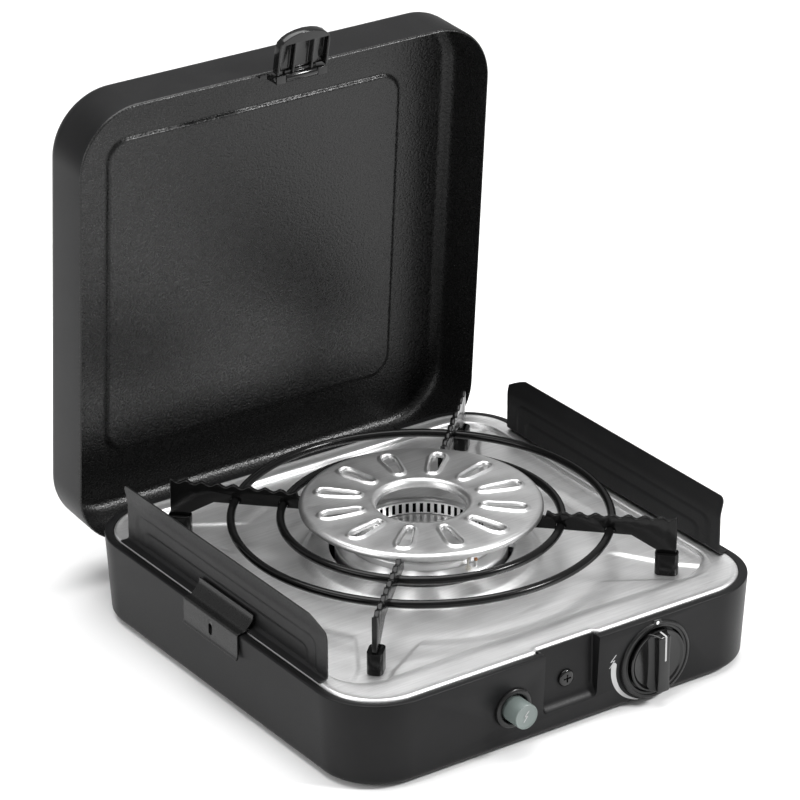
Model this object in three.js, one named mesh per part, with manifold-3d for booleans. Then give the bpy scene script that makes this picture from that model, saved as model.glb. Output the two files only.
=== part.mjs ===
// A single-burner camping stove in a square case, standing open: lid up, windscreens clipped on.
// Millimetres, +Z up, the controls face -Y. Inside the "stove" group the underside of the case is z = 0
// and the case is centred on x = 0, y = 0; the outer group moves the centre of the footprint to the origin.
import * as THREE from "three";
import { mergeVertices } from "three/addons/utils/BufferGeometryUtils.js";
import Module from "manifold-3d";

const wasm = await Module();
wasm.setup();

// Case
const CASE_HALF = 150;
const CASE_HEIGHT = 53.8;
const CORNER_RADIUS = 40;
const CORNER_STEPS = 7;
const CASE_DRAFT = 3.1;
const CASE_EDGE = 4;
const FLOOR_THICKNESS = 2.4;
const RIM_BAND = 5.3;
const LEDGE_TOP = 48.7;
const LEDGE_BOTTOM = 46;
const LEDGE_HALF = 141;
const REAR_CHAMFER = 4.6;
const REAR_CHAMFER_HALF = 130;
const FOOT_RADIUS = 9;
const FOOT_HEIGHT = 2;
const FOOT_OFFSET = 118;
const CASE_WALL = 2.6;
const GAP = 0.3; // between pieces that stay together
const PAST = 5; // how far a cutter runs past the face it cuts

// Front recess for the latch, and the screw that the latch snaps over
const RECESS_HALF = 19.4;
const RECESS_BOTTOM = 13.5;
const RECESS_Y = -143;
const RECESS_FILLET = 6;
const RECESS_WALL = 1.1;
const CATCH_Z = 30.6;
const CATCH_RADIUS = 5.4;
const CATCH_HEAD = 2.3;

// Controls on the front
const CONTROL_Z = 26.5;
const KNOB_X = 61;
const BEZEL_FRONT = -151;
const BEZEL_BACK = -144.75;
const KNOB_BEZEL = { outer: 24.6, pocket: 20.4, floor: -146.6, hole: 4.2 };
const KNOB_RADIUS = 19.6;
const KNOB_BACK = -150.2;
const KNOB_DISC = 2.4;
const KNOB_FRONT = -158.5;
const GRIP_HALF_WIDTH = 4.4;
const STEM_RADIUS = 3;
const STEM_FRONT = -153.8;
const VALVE_Y = -136;
const VALVE_LENGTH = 30;
const VALVE_RADIUS = 9;
const IGNITER_X = -41.5;
const IGNITER_BEZEL = { outer: 12.2, pocket: 8.9, floor: -146.4, hole: 8.2 };
const BUTTON_RADIUS = 7.75;
const BUTTON_FRONT = -162;
const BUTTON_FLANGE = { radius: 9.6, front: -144.4, back: -142.9 };
const BUTTON_TRAVEL = 5;
const BUTTON_STEM_END = -133;
const MODULE_FRONT = -127.5;
const MODULE_LENGTH = 34;
const MODULE_RADIUS = 9.5;
const POINTER = { x: 0.6, half: 0.6, low: 2, high: 18, depth: 0.7 };

// Tray
const TRAY_HALF = 144.4;
const TRAY_TOP = 54.8;
const TRAY_SHEET = 1;
const TRAY_SKIRT = 49;
const WELL_HALF = 134;
const WELL_FRONT = 122;
const WELL_Z = 50.4;
const NOTCH_HALF = 21.4;
const NOTCH_Y = -141.6;
const BURNER_Y = 1.8;
const COLLAR = { foot: 73.5, shoulder: 68.5, shoulderZ: 54.3, hole: 55.5, holeZ: 56.5 };

// Burner
const BURNER_RADIUS = 45;
const BURNER_TOP = 65.3;
const CHAMBER_BOTTOM = 24;
const PORT_RING_INNER = 39;
const PORT_RING_OUTER = 41;
const PORT_COUNT = 56;
const PLATE_TOP = 57.3;
const SHROUD_RADIUS = 52.3;
const SHROUD_TOP = 59;
const SHROUD_BOTTOM = 47;
const BURNER_WALL = 2;
const PORT_DEPTH = 1.2;
const PLATE_THICKNESS = 1.5;
const SPREADER_RADIUS = 73.5;
const SPREADER_TOP = 87;
const SPREADER_SKIRT = 82;
const SPREADER_HOLE = 26.5;
const SPREADER_SHEET = 1;
const SLOT_COUNT = 12;
const SLOT = { innerEnd: 40, innerRadius: 2.6, outerEnd: 59.2, outerRadius: 4.2 };

// Gas and ignition, inside the case
const INLET = { x: 96, z: 13.5, inside: 143.5, hole: 7, body: 6.4, nut: 9, tail: 176 };
const TUBE_Z = 38;
const TUBE_RADIUS = { outer: 7.2, bore: 5.6 };
const PROBE_BOTTOM = 42;
const ELECTRODE = { x: 0, y: -46.4, radius: 1.9, wire: 0.7, shoulder: 61.5, tip: 67 };
const SENSOR = { x: 6, y: -46, radius: 1.5, wire: 1.1, shoulder: 60, tip: 65.5 };

// Pan support
const RING_Z = 75.8;
const RING_RADII = { outer: 114.1, inner: 84.4 };
const ROD_RADIUS = 2.6;
const ARM_THICKNESS = 3;
const ARM_END = 154;
const ARM_LEG_INNER = 142.6;
const ARM_WAVES = 8;
const ARM_WAVE_START = 76;
const ARM_CREST = { inner: 85.2, outer: 87.4 };
const ARM_WAVE_DEPTH = 2.2;
const ARM_UNDERSIDE = 74;
const ARM_LEDGE = { end: 67, top: 81.6 };
const SHOE = { length: 14, width: 9.6, height: 13.4, corner: 3.6, floor: 2, lift: 0.15 };

// Windscreens
const SCREEN_X = 139.3; // outer face
const SCREEN_SHEET = 1;
const SCREEN_FOOT_Z = 55;
const SCREEN_FOOT_END = 145.2;
const SCREEN_BEND_Z = 81;
const SCREEN_TOP_Z = 92.6;
const SCREEN_FLARE = 2.7;
const SCREEN_FRONT_Y = -104;
const SCREEN_REAR_Y = 110.5;
const SCREEN_CORNER = { along: 15, drop: 7 };
const CLIP_HALF = 29;
const CLIP_SHEET = 1.1;
const CLIP_FOOT_END = 142.6; // the sheet's foot is notched back to here for the clip
const CLIP_TOP = 64.5;

// Lid, drawn closed and then swung open about its hinge pins
const LID_HALF = 147.3;
const LID_CENTRE_Y = -1.2;
const LID_RIM_Z = 56;
const LID_DEPTH = 40;
const LID_DRAFT = 0.4;
const LID_EDGE = 9.5;
const LID_SHEET = 1.4;
const HINGE_Y = 135.87;
const HINGE_Z = 35.96;
const LID_OPEN_DEG = 85.86;
const HINGE_X = 75;
const PIN_RADIUS = 2;
const STRAP_HALF = 6;
const STRAP_THICKNESS = 3;
const STRAP_TOP = 74;
const BOSS_RADIUS = 5;
const LUG_INNER = 7.8;
const LUG_OUTER = 11;

// Latch, drawn closed
const LATCH_Y = -146.8;
const LATCH_Z = 48;
const LATCH_OPEN_DEG = 82.5;
const LATCH_PIN_RADIUS = 1.2;
const BARREL_RADIUS = 3;
const BARREL_HALF = 11.2;
const KNUCKLE_INNER = 11.6;
const KNUCKLE_OUTER = 18;
const KNUCKLE = { half: 2.5, down: 2.4, up: 4 };
const LEVER_HALF = 18;
const LEVER_FRONT = -150.2;
const LEVER_BACK = -144.6;
const LEVER_SKIN = 1.5;
const LEVER_TIP_Z = 17.5;
const LEVER_SHOULDER_Z = 26.5;
const LEVER_TOP_Z = 44.4;
const LEVER_POCKETS = [[-16.4, -7.3], [-5.9, 5.9], [7.3, 16.4]];
const POCKET_BOTTOM = 24.5;
const MOUNT_HALF = 21.7;
const MOUNT_TOP = 65.7;

const FOOTPRINT_CENTRE_Y = 16.9; // half way between the igniter's front and the open lid's back

const COLOURS = {
  case: { color: 0x2b2b2c, roughness: 0.55, metalness: 0.1 },
  steel: { color: 0xc9c9c9, roughness: 0.32, metalness: 1 },
  enamel: { color: 0x151515, roughness: 0.35, metalness: 0.1 },
  rubber: { color: 0x101010, roughness: 0.8, metalness: 0 },
  brass: { color: 0xb58a3c, roughness: 0.35, metalness: 1 },
  copper: { color: 0xb06a3a, roughness: 0.4, metalness: 1 },
  aluminium: { color: 0xa9abad, roughness: 0.45, metalness: 1 },
  button: { color: 0x8c9895, roughness: 0.35, metalness: 0 },
  ceramic: { color: 0xe9e4d8, roughness: 0.4, metalness: 0 },
  marker: { color: 0xb8b8b8, roughness: 0.5, metalness: 0 },
};

// ---------- solids ----------

function toSolid(geometry) {
  const bare = geometry.clone();
  bare.deleteAttribute("normal");
  bare.deleteAttribute("uv");
  const merged = mergeVertices(bare, 1e-4);
  const vertProperties = Float32Array.from(merged.attributes.position.array);
  const triVerts = Uint32Array.from(merged.index.array);
  return new wasm.Manifold(new wasm.Mesh({ numProp: 3, vertProperties, triVerts }));
}

function toGeometry(solid) {
  const mesh = solid.getMesh();
  const geometry = new THREE.BufferGeometry();
  geometry.setAttribute("position", new THREE.BufferAttribute(mesh.vertProperties, 3));
  geometry.setIndex(new THREE.BufferAttribute(mesh.triVerts, 1));
  return geometry;
}

function join(...geometries) {
  return toGeometry(geometries.map(toSolid).reduce((all, next) => all.add(next)));
}

function cut(geometry, ...cutters) {
  return toGeometry(cutters.map(toSolid).reduce((all, next) => all.subtract(next), toSolid(geometry)));
}

function box(low, high) {
  const size = high.map((value, axis) => value - low[axis]);
  const centre = high.map((value, axis) => (value + low[axis]) / 2);
  return new THREE.BoxGeometry(...size).translate(...centre);
}

// A rod, disc or bore along Y from the back to the front.
function rodY(radius, x, z, back, front, sides = 24) {
  const middle = (back + front) / 2;
  return new THREE.CylinderGeometry(radius, radius, back - front, sides).translate(x, middle, z);
}

function rodX(radius, y, z, left, right, sides = 16) {
  const rod = new THREE.CylinderGeometry(radius, radius, right - left, sides).rotateZ(Math.PI / 2);
  return rod.translate((left + right) / 2, y, z);
}

function rodZ(radius, x, y, bottom, top, sides = 24) {
  const rod = new THREE.CylinderGeometry(radius, radius, top - bottom, sides).rotateX(Math.PI / 2);
  return rod.translate(x, y, (bottom + top) / 2);
}

// A prism of a (y, z) outline, from x = left to x = right.
function prismX(points, left, right) {
  const shape = new THREE.Shape(points.map(([y, z]) => new THREE.Vector2(y, z)));
  const prism = new THREE.ExtrudeGeometry(shape, { depth: right - left, bevelEnabled: false });
  const axes = new THREE.Matrix4().makeBasis(
    new THREE.Vector3(0, 1, 0), new THREE.Vector3(0, 0, 1), new THREE.Vector3(1, 0, 0));
  return prism.applyMatrix4(axes).translate(left, 0, 0);
}

// A prism of an (x, z) shape, from y = back to y = front.
function prismY(shape, back, front) {
  const prism = new THREE.ExtrudeGeometry(shape, {
    depth: back - front, bevelEnabled: false, curveSegments: 10,
  });
  return prism.rotateX(Math.PI / 2).translate(0, back, 0);
}

function outlineShape(points) {
  return new THREE.Shape(points.map(([u, v]) => new THREE.Vector2(u, v)));
}

// A solid turned about the Z axis through (x, y), from a list of (radius, z).
function turned(profile, x, y, steps) {
  const points = profile.map(([radius, z]) => new THREE.Vector2(radius, z));
  return new THREE.LatheGeometry(points, steps).rotateX(Math.PI / 2).translate(x, y, 0);
}

function roundedSquare(half, radius) {
  const points = [];
  for (let corner = 0; corner < 4; corner += 1) {
    const start = (corner * Math.PI) / 2;
    const middle = start + Math.PI / 4;
    const cx = Math.sign(Math.cos(middle)) * (half - radius);
    const cy = Math.sign(Math.sin(middle)) * (half - radius);
    for (let step = 0; step <= CORNER_STEPS; step += 1) {
      const angle = start + (step / CORNER_STEPS) * (Math.PI / 2);
      points.push([cx + radius * Math.cos(angle), cy + radius * Math.sin(angle)]);
    }
  }
  return points;
}

// A closed skin through rounded squares stacked in z, about the centre (0, centreY).
function stack(levels, centreY = 0) {
  const rings = levels.map(({ half, radius }) => roundedSquare(half, radius));
  const count = rings[0].length;
  const positions = [];
  rings.forEach((ring, level) => {
    ring.forEach(([x, y]) => positions.push(x, y + centreY, levels[level].z));
  });
  const faces = [];
  for (let level = 0; level + 1 < levels.length; level += 1) {
    for (let i = 0; i < count; i += 1) {
      const a = level * count + i;
      const b = level * count + ((i + 1) % count);
      faces.push(a, b, b + count, a, b + count, a + count);
    }
  }
  const caps = THREE.ShapeUtils.triangulateShape(rings[0].map(([x, y]) => new THREE.Vector2(x, y)), []);
  const top = (levels.length - 1) * count;
  caps.forEach(([a, b, c]) => faces.push(c, b, a, top + a, top + b, top + c));
  const geometry = new THREE.BufferGeometry();
  geometry.setAttribute("position", new THREE.Float32BufferAttribute(positions, 3));
  geometry.setIndex(faces);
  return geometry;
}

// A round rod or pipe along a smooth line through the given points.
function pipe(radius, points, steps, sides = 8) {
  const path = new THREE.CatmullRomCurve3(points.map((point) => new THREE.Vector3(...point)));
  const section = new THREE.Shape();
  section.absarc(0, 0, radius, 0, 2 * Math.PI);
  return new THREE.ExtrudeGeometry(section, {
    steps, extrudePath: path, bevelEnabled: false, curveSegments: sides,
  });
}

// ---------- case ----------

function caseHalfAt(z) {
  return CASE_HALF - CASE_DRAFT * (1 - z / CASE_HEIGHT);
}

function caseOutside() {
  const edge = [0, 0.5, 1].map((share) => {
    const angle = share * (Math.PI / 2);
    const z = CASE_EDGE * (1 - Math.cos(angle));
    const inset = CASE_EDGE * (1 - Math.sin(angle)) + CASE_HALF - caseHalfAt(z);
    return { half: CASE_HALF - inset, radius: CORNER_RADIUS - inset, z };
  });
  return stack([...edge, { half: CASE_HALF, radius: CORNER_RADIUS, z: CASE_HEIGHT }]);
}

function straightStack(half, bottom, top, centreY = 0) {
  const radius = CORNER_RADIUS - (CASE_HALF - half);
  return stack([{ half, radius, z: bottom }, { half, radius, z: top }], centreY);
}

function caseHollow() {
  const low = caseHalfAt(FLOOR_THICKNESS) - CASE_WALL;
  const high = caseHalfAt(LEDGE_BOTTOM) - CASE_WALL;
  const shift = CORNER_RADIUS - CASE_HALF;
  const main = stack([
    { half: low, radius: low + shift, z: FLOOR_THICKNESS },
    { half: high, radius: high + shift, z: LEDGE_BOTTOM },
  ]);
  const throat = straightStack(LEDGE_HALF, LEDGE_BOTTOM - 1, LEDGE_TOP + 1);
  const mouth = straightStack(CASE_HALF - RIM_BAND, LEDGE_TOP, CASE_HEIGHT + PAST);
  const recessBack = box(
    [-RECESS_HALF - RECESS_WALL, -CASE_HALF - PAST, RECESS_BOTTOM - RECESS_WALL],
    [RECESS_HALF + RECESS_WALL, RECESS_Y + RECESS_WALL, CASE_HEIGHT + 2 * PAST]);
  return cut(join(main, throat, mouth), recessBack);
}

function recessCutter() {
  const outside = -CASE_HALF - PAST;
  const top = CASE_HEIGHT + PAST;
  const points = [[outside, top], [outside, RECESS_BOTTOM]];
  for (let step = 0; step <= 4; step += 1) {
    const angle = (step / 4) * (Math.PI / 2);
    points.push([
      RECESS_Y - RECESS_FILLET + RECESS_FILLET * Math.sin(angle),
      RECESS_BOTTOM + RECESS_FILLET * (1 - Math.cos(angle)),
    ]);
  }
  points.push([RECESS_Y, top]);
  return prismX(points, -RECESS_HALF, RECESS_HALF);
}

function bezelBoss(bezel, x) {
  return rodY(bezel.outer, x, CONTROL_Z, BEZEL_BACK, BEZEL_FRONT, 32);
}

function bezelCutters(bezel, x) {
  return [
    rodY(bezel.pocket, x, CONTROL_Z, bezel.floor, BEZEL_FRONT - 1, 32),
    rodY(bezel.hole, x, CONTROL_Z, BEZEL_BACK + 1, bezel.floor - 1, 24),
  ];
}

function hingeNotch(x) {
  const half = STRAP_HALF + 1.5;
  return box([x - half, LEDGE_HALF - 3, 20], [x + half, CASE_HALF + PAST, CASE_HEIGHT + PAST]);
}

function hingeLugs(x) {
  const lugs = [-1, 1].map((side) => {
    const near = x + side * LUG_INNER;
    const far = x + side * LUG_OUTER;
    return box(
      [Math.min(near, far), HINGE_Y - BOSS_RADIUS, HINGE_Z - BOSS_RADIUS],
      [Math.max(near, far), CASE_HALF - 3, HINGE_Z + BOSS_RADIUS]);
  });
  return join(...lugs);
}

function caseShell() {
  const rearEdge = prismX([
    [CASE_HALF + 1, CASE_HEIGHT - REAR_CHAMFER - 1],
    [CASE_HALF + 1, CASE_HEIGHT + 1],
    [CASE_HALF - REAR_CHAMFER - 1, CASE_HEIGHT + 1],
  ], -REAR_CHAMFER_HALF, REAR_CHAMFER_HALF);
  const shell = cut(caseOutside(), caseHollow());
  const solid = join(
    shell, bezelBoss(KNOB_BEZEL, KNOB_X), bezelBoss(IGNITER_BEZEL, IGNITER_X),
    hingeLugs(-HINGE_X), hingeLugs(HINGE_X));
  const pinHoles = [-1, 1].map((side) => rodX(
    PIN_RADIUS + 0.35, HINGE_Y, HINGE_Z, side * HINGE_X - LUG_OUTER - 1, side * HINGE_X + LUG_OUTER + 1));
  return cut(
    solid, recessCutter(), rearEdge,
    ...bezelCutters(KNOB_BEZEL, KNOB_X), ...bezelCutters(IGNITER_BEZEL, IGNITER_X),
    hingeNotch(-HINGE_X), hingeNotch(HINGE_X), ...pinHoles,
    rodY(INLET.hole, INLET.x, INLET.z, CASE_HALF + PAST, INLET.inside - PAST, 20),
    rodY(2.3, 0, CATCH_Z, RECESS_Y + PAST, RECESS_Y - PAST, 12));
}

function foot(x, y) {
  return rodZ(FOOT_RADIUS, x, y, -FOOT_HEIGHT, -0.05, 20);
}

function catchScrew() {
  const head = rodY(CATCH_RADIUS, 0, CATCH_Z, RECESS_Y - 0.2, RECESS_Y - CATCH_HEAD, 20);
  const shank = rodY(1.9, 0, CATCH_Z, RECESS_Y + 7, RECESS_Y - 1, 12);
  return join(head, shank);
}

// ---------- tray ----------

function trayOutline(half) {
  const outline = straightStack(half, TRAY_SKIRT, TRAY_TOP);
  const inset = TRAY_HALF - half;
  const notch = box(
    [-NOTCH_HALF - inset, -CASE_HALF, TRAY_SKIRT - PAST],
    [NOTCH_HALF + inset, NOTCH_Y + inset, TRAY_TOP + PAST]);
  return cut(outline, notch);
}

function wellShape(grow, low, high) {
  const shelf = box(
    [-CASE_HALF, -CASE_HALF, low - PAST], [CASE_HALF, -WELL_FRONT - grow, high + PAST]);
  return cut(straightStack(WELL_HALF + grow, low, high), shelf);
}

function tray() {
  const flatTop = TRAY_TOP - 0.6;
  const bead = trayOutline(TRAY_HALF);
  const flat = straightStack(TRAY_HALF - 4, flatTop, TRAY_TOP + PAST);
  const well = wellShape(0, WELL_Z, TRAY_TOP + PAST);
  const notchGuard = box(
    [-NOTCH_HALF - 3, -CASE_HALF, 0], [NOTCH_HALF + 3, NOTCH_Y + 3, TRAY_TOP + 2 * PAST]);
  const under = cut(
    trayOutline(TRAY_HALF - TRAY_SHEET).translate(0, 0, -1 - TRAY_SHEET),
    wellShape(TRAY_SHEET, 0, TRAY_TOP + PAST));
  const below = wellShape(TRAY_SHEET, 0, WELL_Z - TRAY_SHEET);
  const sheet = cut(bead, cut(flat, notchGuard), well, under, below);
  const opening = rodZ(COLLAR.foot - 1, 0, BURNER_Y, 0, TRAY_TOP + PAST, 48);
  const collar = turned([
    [COLLAR.foot, WELL_Z - TRAY_SHEET],
    [COLLAR.foot, WELL_Z],
    [COLLAR.shoulder, COLLAR.shoulderZ],
    [COLLAR.hole, COLLAR.holeZ],
    [COLLAR.hole, COLLAR.holeZ - TRAY_SHEET],
    [COLLAR.shoulder - 1, COLLAR.shoulderZ - TRAY_SHEET],
    [COLLAR.foot - 2, WELL_Z - TRAY_SHEET],
    [COLLAR.foot, WELL_Z - TRAY_SHEET],
  ], 0, BURNER_Y, 48);
  return join(cut(sheet, opening), collar);
}

// ---------- burner ----------

function burnerBody() {
  const inletRadius = TUBE_RADIUS.outer + 1.4;
  const casing = turned([
    [0, CHAMBER_BOTTOM],
    [BURNER_RADIUS - 6, CHAMBER_BOTTOM],
    [BURNER_RADIUS, CHAMBER_BOTTOM + 6],
    [BURNER_RADIUS, BURNER_TOP],
    [PORT_RING_OUTER + GAP, BURNER_TOP],
    [PORT_RING_OUTER + GAP, PLATE_TOP - 2],
    [BURNER_RADIUS - BURNER_WALL, PLATE_TOP - 2],
    [BURNER_RADIUS - BURNER_WALL, CHAMBER_BOTTOM + 7],
    [BURNER_RADIUS - 7, CHAMBER_BOTTOM + BURNER_WALL],
    [0, CHAMBER_BOTTOM + BURNER_WALL],
  ], 0, BURNER_Y, 40);
  const inlet = rodX(inletRadius, BURNER_Y, TUBE_Z, BURNER_RADIUS / 2, BURNER_RADIUS + PAST, 20);
  return cut(casing, inlet);
}

function portRing() {
  const shape = new THREE.Shape();
  shape.absarc(0, 0, PORT_RING_OUTER, 0, 2 * Math.PI);
  const hole = new THREE.Path();
  for (let port = 0; port < PORT_COUNT; port += 1) {
    [[0.1, 0], [0.32, 0], [0.32, PORT_DEPTH], [0.78, PORT_DEPTH], [0.78, 0]].forEach(([share, out]) => {
      const angle = (2 * Math.PI * (port + share)) / PORT_COUNT;
      const radius = PORT_RING_INNER + out;
      const move = port === 0 && share === 0.1 ? "moveTo" : "lineTo";
      hole[move](radius * Math.cos(angle), radius * Math.sin(angle));
    });
  }
  hole.closePath();
  shape.holes.push(hole);
  const ring = new THREE.ExtrudeGeometry(shape, {
    depth: BURNER_TOP - PLATE_TOP - GAP, bevelEnabled: false, curveSegments: 28,
  });
  return ring.translate(0, BURNER_Y, PLATE_TOP + GAP);
}

function centrePlate() {
  return rodZ(PORT_RING_OUTER, 0, BURNER_Y, PLATE_TOP - PLATE_THICKNESS, PLATE_TOP, 40);
}

function shroud() {
  const inner = BURNER_RADIUS + GAP;
  const skirt = turned([
    [SHROUD_RADIUS, SHROUD_BOTTOM],
    [SHROUD_RADIUS, SHROUD_TOP - 1],
    [SHROUD_RADIUS - 1, SHROUD_TOP],
    [inner, SHROUD_TOP + 2.6],
    [inner, SHROUD_TOP + 1.4],
    [SHROUD_RADIUS - 1.2, SHROUD_TOP - 1.4],
    [SHROUD_RADIUS - 1.2, SHROUD_BOTTOM],
    [SHROUD_RADIUS, SHROUD_BOTTOM],
  ], 0, BURNER_Y, 40);
  const holes = [ELECTRODE, SENSOR].map(({ x, y, radius }) => (
    rodZ(radius + GAP, x, y, SHROUD_TOP - 3, SHROUD_TOP + PAST, 12)));
  return cut(skirt, ...holes);
}

function spreader() {
  const top = SPREADER_TOP;
  const sheet = SPREADER_SHEET;
  const disc = turned([
    [SPREADER_HOLE, top - 6],
    [SPREADER_HOLE + sheet, top - 6],
    [SPREADER_HOLE + sheet + 0.6, top - 2.6],
    [SPREADER_HOLE + 4.4, top - sheet],
    [SPREADER_RADIUS - 3.2, top - sheet],
    [SPREADER_RADIUS - sheet - 0.2, top - 3.4],
    [SPREADER_RADIUS - sheet, SPREADER_SKIRT],
    [SPREADER_RADIUS, SPREADER_SKIRT],
    [SPREADER_RADIUS - 0.4, top - 2.4],
    [SPREADER_RADIUS - 2.8, top],
    [SPREADER_HOLE + 4, top],
    [SPREADER_HOLE + 0.6, top - 2],
    [SPREADER_HOLE, top - 6],
  ], 0, BURNER_Y, 48);
  const slots = [];
  for (let slot = 0; slot < SLOT_COUNT; slot += 1) {
    const shape = new THREE.Shape();
    shape.absarc(SLOT.outerEnd, 0, SLOT.outerRadius, -Math.PI / 2, Math.PI / 2);
    shape.absarc(SLOT.innerEnd, 0, SLOT.innerRadius, Math.PI / 2, (3 * Math.PI) / 2);
    const cutter = new THREE.ExtrudeGeometry(shape, { depth: 8, bevelEnabled: false, curveSegments: 4 });
    const angle = ((slot + 0.5) * 2 * Math.PI) / SLOT_COUNT;
    slots.push(cutter.rotateZ(angle).translate(0, BURNER_Y, top - 4));
  }
  return cut(disc, ...slots);
}

// ---------- pan support ----------

function supportRing(radius, rod = ROD_RADIUS) {
  return new THREE.TorusGeometry(radius, rod, 8, 56).translate(0, BURNER_Y, RING_Z);
}

function armOutline() {
  const points = [
    [ARM_LEDGE.end, ARM_UNDERSIDE],
    [127, ARM_UNDERSIDE],
    [ARM_LEG_INNER, 65.2],
    [ARM_LEG_INNER, WELL_Z + SHOE.floor + GAP],
    [ARM_END, WELL_Z + SHOE.floor + GAP],
  ];
  const perWave = 6;
  const total = ARM_WAVES * perWave;
  for (let i = total; i >= 0; i -= 1) {
    const share = i / total;
    const crest = ARM_CREST.inner + (ARM_CREST.outer - ARM_CREST.inner) * share;
    const wave = (1 - Math.cos((2 * Math.PI * i) / perWave)) / 2;
    points.push([
      ARM_WAVE_START + (ARM_END - ARM_WAVE_START) * share,
      crest - ARM_WAVE_DEPTH * wave,
    ]);
  }
  points.push([ARM_WAVE_START - 1, ARM_LEDGE.top], [ARM_LEDGE.end, ARM_LEDGE.top]);
  return points;
}

function arm(angle) {
  const blade = prismY(outlineShape(armOutline()), ARM_THICKNESS / 2, -ARM_THICKNESS / 2);
  blade.rotateZ(angle).translate(0, BURNER_Y, 0);
  const rod = ROD_RADIUS + GAP;
  return cut(blade, supportRing(RING_RADII.outer, rod), supportRing(RING_RADII.inner, rod));
}

function shoeOutline() {
  const half = { x: SHOE.length / 2 - SHOE.corner, y: SHOE.width / 2 - SHOE.corner };
  const shape = new THREE.Shape();
  [[1, 1], [-1, 1], [-1, -1], [1, -1]].forEach(([sx, sy], corner) => {
    const start = (corner * Math.PI) / 2;
    shape.absarc(sx * half.x, sy * half.y, SHOE.corner, start, start + Math.PI / 2);
  });
  return shape;
}

function shoe(angle) {
  const middle = (ARM_END + ARM_LEG_INNER) / 2;
  const low = WELL_Z + SHOE.lift;
  const body = new THREE.ExtrudeGeometry(shoeOutline(), {
    depth: SHOE.height, bevelEnabled: false, curveSegments: 5,
  }).translate(middle, 0, low);
  const socket = box(
    [ARM_LEG_INNER - GAP, -ARM_THICKNESS / 2 - GAP, WELL_Z + SHOE.floor],
    [ARM_END + GAP, ARM_THICKNESS / 2 + GAP, low + SHOE.height + 1]);
  return cut(body, socket).rotateZ(angle).translate(0, BURNER_Y, 0);
}

// ---------- windscreens ----------

// The right-hand sheet; the left one is the same part turned half round.
function screenSheet() {
  const inner = SCREEN_X - SCREEN_SHEET;
  const section = [
    [SCREEN_X, SCREEN_FOOT_Z + SCREEN_SHEET],
    [SCREEN_X, SCREEN_BEND_Z],
    [SCREEN_X + SCREEN_FLARE, SCREEN_TOP_Z],
    [inner + SCREEN_FLARE, SCREEN_TOP_Z],
    [inner, SCREEN_BEND_Z],
    [inner, SCREEN_FOOT_Z],
    [SCREEN_FOOT_END, SCREEN_FOOT_Z],
    [SCREEN_FOOT_END, SCREEN_FOOT_Z + SCREEN_SHEET],
  ];
  const sheet = prismY(outlineShape(section), -SCREEN_FRONT_Y, -SCREEN_REAR_Y);
  const end = -SCREEN_FRONT_Y;
  const corner = prismX([
    [end, SCREEN_TOP_Z - SCREEN_CORNER.drop],
    [end + PAST, SCREEN_TOP_Z - SCREEN_CORNER.drop],
    [end + PAST, SCREEN_TOP_Z + PAST],
    [end - SCREEN_CORNER.along, SCREEN_TOP_Z + PAST],
    [end - SCREEN_CORNER.along, SCREEN_TOP_Z],
  ], inner - PAST, SCREEN_X + 2 * PAST);
  const clipNotch = box(
    [CLIP_FOOT_END, -CLIP_HALF - 1, SCREEN_FOOT_Z - PAST],
    [SCREEN_FOOT_END + PAST, CLIP_HALF + 1, SCREEN_FOOT_Z + PAST]);
  return cut(sheet, corner, clipNotch);
}

// A spring clip that hooks over the rim of the case, on the outside of the sheet.
function screenClip() {
  const root = SCREEN_X + GAP;
  const over = CASE_HALF + 0.4;
  const bridge = SCREEN_FOOT_Z - 0.9;
  const section = [
    [root, CLIP_TOP],
    [root, 61],
    [CLIP_FOOT_END + 0.6, 56.3],
    [TRAY_HALF + 0.3, 55.2],
    [CASE_HALF - RIM_BAND + 0.9, bridge],
    [over, bridge],
    [over + 0.2, 40],
    [over + 1.4, 37.5],
    [over + 2.3, 38],
    [over + CLIP_SHEET + 0.2, 40.4],
    [over + CLIP_SHEET, bridge + CLIP_SHEET],
    [CASE_HALF - RIM_BAND + 1.3, bridge + CLIP_SHEET],
    [TRAY_HALF + 0.6, 56.5],
    [CLIP_FOOT_END + 1.2, 57.4],
    [root + CLIP_SHEET, 61.5],
    [root + CLIP_SHEET, CLIP_TOP],
  ];
  return prismY(outlineShape(section), CLIP_HALF, -CLIP_HALF);
}

// ---------- lid ----------

function lidLevels(inset) {
  const edge = LID_EDGE - inset;
  const shoulder = LID_RIM_Z + LID_DEPTH - LID_EDGE;
  const bottom = LID_RIM_Z - (inset > 0 ? 1 : 0);
  const levels = [{ half: LID_HALF - inset, radius: CORNER_RADIUS - inset, z: bottom }];
  for (let step = 0; step <= 4; step += 1) {
    const angle = (step / 4) * (Math.PI / 2);
    const z = shoulder + edge * Math.sin(angle);
    const away = inset + LID_DRAFT * ((z - LID_RIM_Z) / LID_DEPTH) + edge * (1 - Math.cos(angle));
    levels.push({ half: LID_HALF - away, radius: CORNER_RADIUS - away, z });
  }
  return levels;
}

function lidShell() {
  const outside = stack(lidLevels(0), LID_CENTRE_Y);
  const inside = stack(lidLevels(LID_SHEET), LID_CENTRE_Y);
  const front = LID_CENTRE_Y - LID_HALF;
  const notch = box(
    [-MOUNT_HALF - GAP, front - PAST, LID_RIM_Z - PAST], [MOUNT_HALF + GAP, front + PAST, MOUNT_TOP + GAP]);
  return cut(outside, inside, notch);
}

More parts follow.
